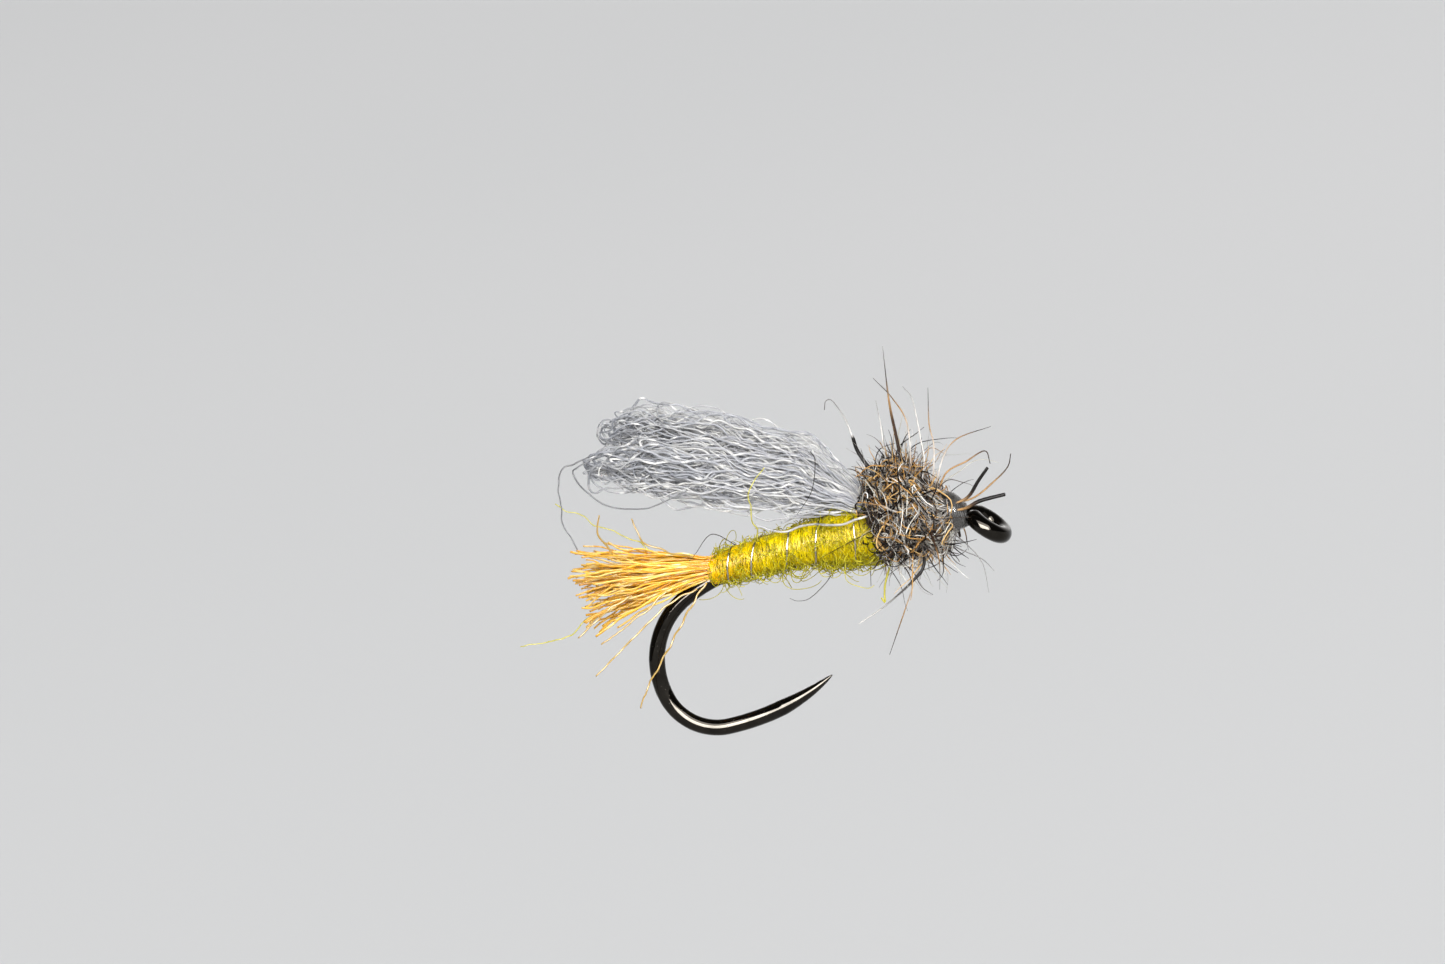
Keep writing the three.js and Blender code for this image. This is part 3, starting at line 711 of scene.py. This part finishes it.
def wing(material):
    for name, rows, node, seed in (
        ("wing_far_filaments", WING_FAR, "wing_loop_far", 21),
        ("wing_near_filaments", WING_NEAR, "wing_loop_near", 22),
    ):
        rng = np.random.default_rng(seed)
        fibres, count = 64, 200
        paths = lobe_paths(rng, rows, fibres, count)
        paths = crinkle(rng, crinkle(rng, paths, 0.095, 2.1), 0.018, 0.7)
        radii = WING_FILAMENT_RADIUS * rng.uniform(0.7, 1.2, (fibres, 1))
        look = {"sides": 6, "shade": rng.random(fibres), "flatten": 0.65}
        fibre_piece(name, paths, radii, material, "wing_filament", node, **look)


# ---- shuck ----

# Along the shuck: share of the way, x, y, z, half the width and half the height of the bunch.
SHUCK = (
    (0.0, 1.0, 0, 4.66, 0.3, 0.3),
    (0.1, 0.6, 0, 4.66, 0.36, 0.36),
    (0.22, 0.1, 0, 4.72, 0.46, 0.48),
    (0.4, -0.65, 0, 4.76, 0.6, 0.64),
    (0.6, -1.4, 0, 4.8, 0.72, 0.8),
    (0.8, -2.25, 0, 4.9, 0.84, 0.92),
    (1.0, -3.1, 0, 4.95, 0.92, 1.0),
)


def shuck_material():
    """Amber yarn: deeper at its root, paler and duller at its cut end, with short painted highlights: pale
    glints in its colour.
    """
    shader = Shader("shuck_yarn", Roughness=0.24, Specular_IOR_Level=0.2, Transmission_Weight=0.15)
    middle = shader.ramp(shader.fibre_shade(), [
        (0.2, srgb(226, 150, 14)), (0.5, srgb(246, 192, 48)), (0.8, srgb(255, 222, 110)),
    ])
    # painted highlight: short pale patches, each fibre's own, put into the colour as glints of light
    painted_glint = shader.mask(shader.noise(0.4, 2, by_fibre=True), (0.54, 0), (0.64, 1))
    middle = shader.mix(painted_glint, middle, srgb(255, 238, 170))
    along = shader.attribute("along")
    root = shader.mask(along, (0.0, 1), (0.24, 0))
    end = shader.mask(along, (0.6, 0), (0.98, 0.6))
    colour = shader.mix(root, middle, srgb(244, 150, 10))
    shader.colour(shader.mix(end, colour, srgb(206, 158, 72)))
    return shader.material


def shuck(material):
    rng = np.random.default_rng(31)
    fibres, count = 150, 44
    reach = 1.04 - 0.34 * rng.random((fibres, 1)) ** 1.5
    t = np.linspace(0, 1, count)[None] * reach
    spot = disc(rng, fibres, 0.6)
    x, y, z, half_width, half_height = table(SHUCK, t)
    x = x - np.clip(t - 1, 0, 1) * 4  # the longest ones go on past the table's end
    drift = rng.normal(0, 0.42, (fibres, 2))
    paths = np.stack([
        x,
        y + (spot[:, :1] + drift[:, :1] * t**2) * half_width,
        z + (spot[:, 1:] + drift[:, 1:] * t**2) * half_height,
    ], axis=-1)
    paths = crinkle(rng, paths, 0.065, 1.7, grows=0.7)
    radii = rng.uniform(0.026, 0.042, (fibres, 1))
    look = {"sides": 6, "shade": rng.random(fibres), "flatten": 0.6}
    fibre_piece("shuck_filaments", paths, radii, material, "shuck_yarn", "trailing_shuck", **look)


# ---- thorax ----

# x, height of the centre, half the width, half the height
THORAX = (
    (5.42, 4.86, 0.62, 0.74),
    (5.7, 4.99, 0.88, 1.02),
    (6.2, 5.08, 1.0, 1.12),
    (6.75, 5.12, 1.06, 1.18),
    (7.12, 5.0, 1.0, 1.04),
    (7.38, 4.76, 0.88, 0.84),
    (7.62, 4.69, 0.7, 0.68),
    (7.86, 4.7, 0.5, 0.5),
)
WOUND_HAIRS = 2900
STANDING_HAIRS = 820
WINDING_CENTRES = (5.85, 6.55, 7.2)  # where each of the thorax's three turns of dubbing bulges
WINDING_WIDTH = 0.24
WINDING_HEIGHT = 0.2
WINDING_LEAN = 0.16  # the turns lean back over the top


def on_thorax(x, angle, standoff=0.0):
    """A point of the thorax's surface, which the turns of dubbing raise in ridges."""
    height, half_width, half_height = table(THORAX, x)
    lean = x + WINDING_LEAN * np.sin(angle)
    across = [(lean - centre) / WINDING_WIDTH for centre in WINDING_CENTRES]
    ridge = WINDING_HEIGHT * (np.exp(-np.min(np.square(across), axis=0)) - 0.6)
    return np.stack([
        x,
        (half_width + standoff + ridge) * np.cos(angle),
        height + (half_height + standoff + ridge) * np.sin(angle),
    ], axis=-1)


# Each family of fur: its share of the fibres, where along X they gather, thinnest, thickest, and its
# colours from dark to light.
FUR = {
    "dark": (0.34, 5.75, 0.014, 0.034, (srgb(8, 6, 5), srgb(26, 19, 15), srgb(72, 54, 40))),
    "grey": (0.34, 7.3, 0.008, 0.016, (srgb(88, 84, 80), srgb(142, 136, 130), srgb(196, 192, 186))),
    "tan": (0.17, 6.6, 0.012, 0.032, (srgb(128, 90, 44), srgb(190, 144, 80), srgb(244, 206, 140))),
    "pale": (0.15, 6.7, 0.009, 0.026, (srgb(176, 170, 154), srgb(220, 216, 206), srgb(252, 250, 246))),
}


def fur_material(name):
    stops = list(zip((0.15, 0.5, 0.85), FUR[name][-1]))
    return filament(f"hare_fur_{name}", stops, Roughness=0.42, Specular_IOR_Level=0.12)


def thorax_core():
    shader = Shader("fur_core", Roughness=0.95, Specular_IOR_Level=0.1)
    stops = [(0.25, srgb(8, 6, 5)), (0.55, srgb(34, 26, 20)), (0.8, srgb(72, 54, 34))]
    shader.colour(shader.ramp(shader.noise(0.3, 5), stops))
    shader.bump(shader.noise(0.08, 4), 1.0, 0.06)
    sides, stations = 64, 70
    x = np.linspace(THORAX[0][0], THORAX[-1][0], stations)[:, None] * np.ones(sides)
    angle = np.ones((stations, 1)) * around(sides)
    mesh = grid_mesh("thorax_core", on_thorax(x, angle, -0.14))
    piece("thorax_core", mesh, shader.material, "hare_fur", "thorax_dubbing")


def thorax_hair(materials):
    for number, (name, (share, home, *thickness, _)) in enumerate(FUR.items()):
        wound = int(WOUND_HAIRS * share)
        standing = int(STANDING_HAIRS * share)
        wound_fur(f"thorax_fur_{name}", wound, home, thickness, materials[name], seed=41 + number)
        thorax_fuzz(f"thorax_fuzz_{name}", standing, thickness, materials[name], seed=61 + number)


def wound_fur(name, fibres, home, thickness, material, seed):
    """Spun fur: curving fibres wound round the thorax, some lifting off in loops."""
    rng = np.random.default_rng(seed)
    count = 16
    t = np.linspace(0, 1, count)[None]
    rear, front = THORAX[0][0], 7.82
    x = rng.uniform(rear, front, (fibres, 1))
    gathered = np.clip(rng.normal(home, 0.4, (fibres, 1)), rear, front)
    x = np.where(rng.random((fibres, 1)) < 0.5, gathered, x)
    angle = rng.uniform(0, FULL_TURN, (fibres, 1))
    span = rng.uniform(0.15, 1.1, (fibres, 1)) * rng.choice([-1, -1, 1], (fibres, 1))
    drift = rng.normal(0.0, 0.5, (fibres, 1))
    sway = rng.uniform(0.05, 0.26, (fibres, 1))
    turn = rng.uniform(2, 7, (fibres, 1)) * t + phases(rng, fibres)
    place = np.clip(x + drift * t + sway * np.sin(turn), 5.3, 7.9)
    base = rng.uniform(-0.12, 0.03, (fibres, 1))
    arch = 0.46 * rng.random((fibres, 1)) ** 3 * np.sin(np.pi * t)
    paths = on_thorax(place, angle + span * t + 0.5 * sway * np.cos(turn), base + arch)
    thick = rng.uniform(*thickness, (fibres, 1)) * rng.uniform(0.7, 1, (fibres, 1))
    radii = thick * np.sin(np.pi * (0.12 + 0.8 * t)) ** 0.6
    fibre_piece(name, paths, radii, material, "hare_fur", sides=3, shade=rng.random(fibres))


def thorax_fuzz(name, fibres, thickness, material, seed):
    """Short hairs that stand off the thorax, most of them over its top and under it."""
    rng = np.random.default_rng(seed)
    count = 14
    side = rng.random(fibres)
    over = rng.normal(0.5 * np.pi, 0.5, fibres)
    angle = np.where(side < 0.42, over, rng.uniform(0, FULL_TURN, fibres))
    angle = np.where(side > 0.72, rng.normal(1.5 * np.pi, 0.55, fibres), angle)
    x = rng.uniform(5.6, 7.5, fibres)
    outward = np.stack([rng.normal(0.1, 0.35, fibres), np.cos(angle), np.sin(angle)], axis=1)
    lengths = rng.uniform(0.3, 0.9, fibres) + 1.4 * rng.random(fibres) ** 4
    bends = rng.normal(0, 1.4, fibres) + rng.choice([0, 5, 8, -6], fibres) * (lengths < 0.75)
    directions = scattered(rng, unit(outward), 0.35)
    paths = curled(rng, on_thorax(x, angle, -0.08), directions, lengths, bends, count)
    thick = rng.uniform(*thickness, (fibres, 1))
    radii = thick * (1 - 0.75 * np.linspace(0, 1, count) ** 1.5)
    fibre_piece(name, paths, radii, material, "hare_fur", sides=3, shade=rng.random(fibres))


def thorax_thread(material):
    count = 120
    angle = np.linspace(0, FULL_TURN * 1.02, count)
    x = 7.52 - WINDING_LEAN * np.sin(angle)
    path = on_thorax(x, angle, 0.06)[None]
    name = "thorax_thread_turn"
    fibre_piece(name, path, THREAD_RADIUS, material, "dark_thread", "thorax_thread", sides=8)


# ---- guard hairs and loose fibres ----

BLACK, BROWN, TAN = srgb(20, 15, 13), srgb(70, 50, 36), srgb(178, 138, 88)
WHITE, GREY, DARK_GREY = srgb(232, 228, 222), srgb(142, 140, 138), srgb(78, 74, 72)
OLIVE, LIGHT_OLIVE = srgb(150, 142, 30), srgb(196, 188, 70)

# How a hair changes from root to tip: share of the way, colour, share of its radius.
HAIR_KINDS = {
    "white_tipped": (
        (0, BLACK, 1), (0.5, BLACK, 0.9), (0.53, WHITE, 0.36), (0.8, GREY, 0.26), (1, DARK_GREY, 0.18),
    ),
    "black": (
        (0, BLACK, 1), (0.45, BROWN, 0.7), (0.6, TAN, 0.45), (0.75, DARK_GREY, 0.3), (1, GREY, 0.15),
    ),
    "tan": (
        (0, TAN, 0.85), (0.35, WHITE, 0.7), (0.65, TAN, 0.55), (0.85, DARK_GREY, 0.4),
        (1, DARK_GREY, 0.2),
    ),
    "amber": ((0, TAN, 0.8), (0.6, TAN, 0.7), (0.8, BROWN, 0.55), (1, BLACK, 0.35)),
    "blunt": ((0, WHITE, 0.4), (0.3, TAN, 0.6), (0.5, BROWN, 0.9), (0.6, BLACK, 1), (1, BLACK, 0.85)),
    "pale": ((0, WHITE, 0.8), (0.6, WHITE, 0.6), (1, GREY, 0.25)),
    "grey": ((0, DARK_GREY, 1), (0.5, GREY, 0.7), (1, GREY, 0.25)),
    "smoky": ((0, BLACK, 1), (0.35, BLACK, 0.9), (0.6, DARK_GREY, 0.5), (1, WHITE, 0.2)),
    "olive": ((0, OLIVE, 1), (1, LIGHT_OLIVE, 0.8)),
}

# Each hair's root (its station along X and its angle round the thorax in degrees), its radius there and
# its kind, then the points that it passes through.
GUARD_HAIRS = (
    (6.15, 105, 0.052, "white_tipped", (
        (5.7, -0.1, 6.95), (5.64, -0.15, 7.5), (5.56, -0.2, 8.1), (5.35, -0.24, 8.66), (5.17, -0.28, 8.7),
        (5.07, -0.3, 8.46),
    )),
    (6.8, 95, 0.055, "black", ((6.86, -0.1, 7.25), (6.93, -0.2, 8.3), (7.16, -0.3, 9.89))),
    (7.0, 115, 0.032, "tan", ((7.34, -0.6, 7.53), (7.16, -0.8, 8.43), (6.77, -0.9, 9.17))),
    (7.4, 80, 0.03, "tan", ((7.78, 0.2, 6.6), (7.8, 0.3, 7.3), (8.01, 0.4, 8.31))),
    (7.45, 100, 0.03, "tan", ((7.97, -0.2, 6.25), (8.55, -0.3, 6.8), (9.63, -0.4, 6.97))),
    (7.5, 90, 0.03, "amber", (
        (7.95, 0.05, 5.83), (8.6, 0.08, 6.04), (9.2, 0.1, 6.22), (9.26, 0.1, 5.82),
    )),
    (7.6, 120, 0.05, "blunt", (
        (8.1, -0.3, 5.0), (8.5, -0.3, 5.12), (8.86, -0.35, 5.48), (9.24, -0.4, 5.82),
    )),
    (7.6, 60, 0.032, "amber", (
        (8.45, 0.35, 4.9), (9.2, 0.45, 5.24), (9.66, 0.48, 5.55), (9.84, 0.5, 5.9),
    )),
    (7.65, 150, 0.055, "blunt", ((8.3, -0.5, 4.83), (8.82, -0.55, 4.96), (9.57, -0.6, 5.0))),
    (6.9, 250, 0.045, "smoky", (
        (6.82, -0.7, 3.54), (6.42, -0.8, 3.17), (5.48, -0.95, 2.66), (4.63, -1.1, 2.34),
    )),
    (6.8, 285, 0.03, "tan", ((6.6, 0.4, 3.5), (6.07, 0.6, 2.64), (4.93, 0.8, 0.87))),
    (6.15, 255, 0.03, "olive", (
        (5.6, -0.35, 3.3), (5.45, -0.4, 2.9), (5.4, -0.4, 2.64), (5.33, -0.4, 2.8),
    )),
    (7.2, 100, 0.03, "pale", (
        (7.5, -0.3, 6.4), (7.56, -0.32, 7.0), (7.62, -0.35, 8.2), (7.45, -0.4, 8.65),
    )),
    (6.3, 85, 0.028, "pale", ((6.38, 0.15, 6.9), (6.46, 0.2, 7.64), (6.48, 0.25, 8.3))),
    (7.3, 280, 0.02, "grey", ((7.7, 0.3, 3.6), (8.3, 0.4, 3.1), (8.54, 0.5, 2.67))),
    (7.6, 255, 0.018, "grey", ((8.1, -0.2, 3.7), (8.4, -0.3, 3.1), (8.37, -0.3, 2.25))),
    (6.6, 175, 0.035, "tan", ((6.5, -1.5, 5.4), (6.2, -2.1, 5.8), (5.7, -2.6, 6.0))),
    (7.2, 205, 0.035, "black", ((7.4, -1.5, 4.3), (7.5, -2.0, 3.8), (7.4, -2.5, 3.1))),
    (6.6, 5, 0.035, "black", ((6.6, 1.5, 5.4), (6.4, 2.2, 6.0), (5.9, 2.7, 6.3))),
    (7.2, 335, 0.035, "tan", ((7.4, 1.5, 4.3), (7.7, 2.1, 3.8), (7.6, 2.6, 3.0))),
)


def along_material(name, stops):
    """A hair whose colour changes along it."""
    shader = Shader(name, Roughness=0.4, Specular_IOR_Level=0.12)
    along = shader.ramp(shader.attribute("along"), [(share, colour) for share, colour, _ in stops])
    speckle = shader.mask(shader.noise(0.15, 3), (0.3, 0.72), (0.7, 1))
    shader.colour(shader.mix(1.0, along, speckle, "MULTIPLY"))
    return shader.material


HAIR_THICKENING = 1.12  # applied to every radius in the table


def guard_hairs():
    materials = {kind: along_material(f"hair_{kind}", stops) for kind, stops in HAIR_KINDS.items()}
    count = 48
    t = np.linspace(0, 1, count)
    for number, (x, degrees, radius, kind, points) in enumerate(GUARD_HAIRS, start=1):
        name = f"guard_hair_{number:02d}"
        root = on_thorax(np.array(x), math.radians(degrees), -0.25)
        path = spline([root, *points], count)[None]
        stops = HAIR_KINDS[kind]
        profile = np.interp(t, [share for share, _, _ in stops], [size for _, _, size in stops])
        radii = HAIR_THICKENING * radius * profile
        fibre_piece(f"{name}_tapered", path, radii, materials[kind], "guard_hair", name, sides=8)


# Fine dark hairs that have slipped out of the thorax: over the abdomen, under it, and across the wing.
LOOSE_HAIRS = (
    ((5.82, -0.85, 4.89), (4.94, -0.87, 4.67), (3.93, -0.72, 4.36)),
    (
        (4.9, -0.2, 3.98), (4.18, 0, 3.79), (3.78, 0, 3.47), (3.24, 0, 3.15), (2.87, 0, 3.15),
        (2.67, 0, 3.28),
    ),
    ((5.21, 0, 4.1), (5.2, 0, 3.8), (5.05, 0, 3.11)),
    ((4.5, -0.95, 7.5), (4.57, -1.0, 7.2), (4.27, -1.05, 6.4), (3.67, -1.0, 5.8)),
    ((1.6, -0.3, 5.2), (1.0, -0.3, 5.65), (0.4, -0.3, 5.2), (0.0, -0.3, 4.9)),
)
LOOSE_HAIR_RADIUS = 0.013


def loose_hairs(material):
    count = 40
    paths = np.stack([spline(points, count) for points in LOOSE_HAIRS])
    radii = LOOSE_HAIR_RADIUS * (1 - 0.5 * np.linspace(0, 1, count) ** 2)
    fibre_piece("loose_hairs", paths, radii, material, "guard_hair", sides=6)


# The loose fibres, by the names of their CAD nodes.
SHUCK_STRAYS = {
    "shuck_fibre_upright": ((-1.9, -0.3, 5.5), (-2.0, -0.5, 6.0), (-2.15, -0.6, 6.42), (-1.97, -0.7, 6.98)),
    "shuck_fibre_hooked": ((0.3, -0.3, 5.1), (-0.45, -0.7, 5.6), (-0.9, -0.8, 6.0), (-1.04, -0.85, 6.7)),
    "shuck_fibre_short": ((-0.6, -0.7, 4.4), (-1.3, -0.9, 4.0), (-2.2, -1.0, 3.6), (-2.78, -1.0, 3.33)),
    "shuck_fibre_low": ((0.2, -0.4, 4.2), (-0.65, -0.6, 4.0), (-1.7, -0.8, 3.4), (-3.2, -0.9, 2.45)),
    "shuck_fibre_lowest": (
        (0.5, -0.3, 4.3), (-0.04, -0.42, 3.8), (-1.09, -0.45, 2.63), (-2.0, -0.45, 1.6),
        (-2.25, -0.45, 1.15),
    ),
    "shuck_fibre_rear": ((-1.6, -0.8, 4.5), (-2.3, -0.95, 4.3), (-2.9, -1.0, 3.95), (-3.4, -1.0, 3.7)),
}
DUBBING_STRAYS = {
    "dubbing_fibre_high": ((-0.9, 0.4, 5.3), (-1.4, 0.6, 5.8), (-2.12, 0.7, 6.25), (-3.43, 0.8, 7.3)),
    "dubbing_fibre_rear": ((-2.7, 0.1, 4.1), (-3.3, 0.2, 3.9), (-3.98, 0.25, 3.52), (-5.38, 0.3, 3.53)),
    "dubbing_loop": (
        (2.3, -0.5, 5.2), (2.38, -0.8, 5.6), (2.46, -1.25, 6.45), (2.75, -1.3, 7.1), (3.18, -1.3, 7.36),
    ),
}
WING_STRAYS = {
    "wing_stray_long": (
        (-1.6, -0.6, 8.7), (-2.25, -0.7, 8.6), (-2.75, -0.85, 8.4), (-2.97, -0.95, 7.0), (-2.74, -1.0, 6.2),
    ),
    "wing_stray_loop": (
        (-1.4, -0.8, 8.7), (-2.1, -0.97, 8.55), (-2.28, -1.2, 8.4), (-2.0, -1.2, 7.75),
        (-1.48, -1.25, 7.27), (-0.65, -1.25, 7.0), (0.1, -1.25, 7.05), (0.8, -1.1, 7.2),
    ),
}
WING_STRANDS = {
    "wing_strand_low": (
        (6.0, -0.5, 5.2), (5.5, -0.85, 5.3), (4.81, -0.85, 5.22), (3.76, -0.66, 5.4), (3.13, -0.62, 5.32),
        (2.3, -0.42, 5.66),
    ),
    "wing_strand_high": (
        (6.0, -0.4, 5.1), (5.56, -0.45, 5.37), (4.46, -0.45, 5.55), (3.7, -0.42, 5.6), (3.05, -0.4, 5.58),
    ),
}
NOT_IN_CAD = {"wing_strand_high"}  # lies close beside wing_strand_low and stands for no CAD node


def strays(groups):
    """Loose fibres, each one its own piece, from (paths by name, radius, size of the waves, material, slot)
    groups."""
    rng = np.random.default_rng(71)
    count = 60
    for paths_by_name, radius, wave, material, slot in groups:
        for name, points in paths_by_name.items():
            path = crinkle(rng, spline(points, count)[None], wave, 1.0)
            radii = radius * (1 - 0.25 * np.linspace(0, 1, count) ** 3)
            look = {"sides": 8, "shade": rng.uniform(0.3, 0.7, 1)}
            fibre_piece(f"{name}_fine", path, radii, material, slot, *({name} - NOT_IN_CAD), **look)


# ---- studio ----

LIGHT_DISTANCE = 5.0  # metres


def camera():
    """The photograph's viewing angle: a long lens, a little above and ahead of square-on, with the fly
    nose-up. Returns the directions back to the camera and to its right."""
    azimuth, elevation, nose_up = math.radians(8), math.radians(13), math.radians(14.5)
    tip = Matrix.Rotation(nose_up, 3, "Y")  # turns the level fly's frame into the photograph's
    back = tip @ Vector((
        math.sin(azimuth) * math.cos(elevation),
        -math.cos(azimuth) * math.cos(elevation),
        math.sin(elevation),
    ))
    right = tip @ Vector((math.cos(azimuth), math.sin(azimuth), 0))
    aim = Vector((1.63, 0, 7.01)) * MM
    distance, field_width = 0.3, 41.3 * MM
    data = bpy.data.cameras.new("camera")
    data.lens = data.sensor_width * distance / field_width
    data.clip_start = 0.001
    made = bpy.data.objects.new("camera", data)
    bpy.context.scene.collection.objects.link(made)
    axes = Matrix((right, back.cross(right), back)).transposed()
    made.matrix_world = Matrix.Translation(aim + back * distance) @ axes.to_4x4()
    bpy.context.scene.camera = made
    return back, right


def pale_floor():
    mesh = bpy.data.meshes.new("floor")
    half, level = 3.0, -0.05
    corners = [(-half, -half, level), (half, -half, level), (half, half, level), (-half, half, level)]
    mesh.from_pydata(corners, [], [(0, 1, 2, 3)])
    floor = bpy.data.objects.new("floor", mesh)
    bpy.context.scene.collection.objects.link(floor)
    shader = Shader("pale_floor", Roughness=1.0, Specular_IOR_Level=0.0)
    tone = shader.noise(400, 2)
    shader.colour(shader.ramp(tone, [(0.3, srgb(210, 211, 212)), (0.7, srgb(215, 215, 216))]))
    mesh.materials.append(shader.material)


def room(back):
    """A room that is dim in front of the fly and bright behind it."""
    world = bpy.data.worlds.new("studio")
    world.use_nodes = True
    tree = world.node_tree
    direction = add_node(tree, "ShaderNodeTexCoord").outputs["Generated"]
    facing = add_node(tree, "ShaderNodeVectorMath", {0: direction, 1: back}, operation="DOT_PRODUCT")
    strength = add_node(tree, "ShaderNodeMapRange", {
        "Value": facing.outputs["Value"],
        "From Min": -0.95,
        "From Max": -0.35,
        "To Min": 1.5,
        "To Max": 0.12,
    })
    background = tree.nodes["Background"]
    background.inputs["Color"].default_value = (1, 0.99, 0.975, 1)
    tree.links.new(strength.outputs["Result"], background.inputs["Strength"])
    bpy.context.scene.world = world


def lights(back, right):
    """A large softbox above the camera, and a brighter strip beside it that only glossy surfaces catch."""
    up = back.cross(right)
    panel("softbox", back * 0.93 + up * 0.37, right, (6.0, 3.2), 540)
    strip = panel("strip", back * 0.98 - up * 0.02 - right * 0.1, right, (4.8, 2.8), 1600)
    strip.visible_diffuse = False


def panel(name, toward, right, size, energy):
    """A rectangular light in the given direction from the fly, facing it."""
    toward = toward.normalized()
    data = bpy.data.lights.new(name, "AREA")
    data.shape = "RECTANGLE"
    data.size, data.size_y = size
    data.energy = energy
    made = bpy.data.objects.new(name, data)
    side = (right - toward * right.dot(toward)).normalized()
    axes = Matrix((side, toward.cross(side), toward)).transposed()
    made.matrix_world = Matrix.Translation(toward * LIGHT_DISTANCE) @ axes.to_4x4()
    bpy.context.scene.collection.objects.link(made)
    return made


def main():
    bpy.context.scene.view_settings.view_transform = "Standard"
    back, right = camera()
    pale_floor()
    room(back)
    lights(back, right)
    hook()
    grey_thread = thread_material("grey_thread", srgb(46, 45, 44), srgb(92, 90, 88))
    dark_thread = thread_material("dark_thread", srgb(14, 12, 11), srgb(44, 38, 34))
    abdomen_core()
    abdomen_fibres()
    abdomen_fuzz()
    rib()
    wing_yarn, shuck_yarn = wing_material(), shuck_material()
    wing(wing_yarn)
    shuck(shuck_yarn)
    furs = {name: fur_material(name) for name in FUR}
    thorax_core()
    thorax_hair(furs)
    thorax_thread(dark_thread)
    bindings(grey_thread)
    head_cement()
    guard_hairs()
    loose_hairs(furs["dark"])
    amber = filament(
        "shuck_strays", [(0.2, srgb(150, 118, 44)), (0.8, srgb(196, 160, 78))],
        Roughness=0.3, Specular_IOR_Level=0.7,
    )
    olive = filament(
        "dubbing_strays", [(0.2, srgb(150, 142, 24)), (0.8, srgb(214, 206, 90))], Roughness=0.4,
    )
    grey = filament(
        "wing_strays", [(0.2, srgb(66, 68, 72)), (0.8, srgb(112, 112, 114))],
        Roughness=0.4, Specular_IOR_Level=0.3,
    )
    strays((
        (SHUCK_STRAYS, 0.028, 0.03, amber, "shuck_yarn"),
        (DUBBING_STRAYS, 0.02, 0.05, olive, "dubbing"),
        (WING_STRAYS, 0.022, 0.04, grey, "wing_filament"),
        (WING_STRANDS, 0.036, 0.03, wing_yarn, "wing_filament"),
    ))


main()
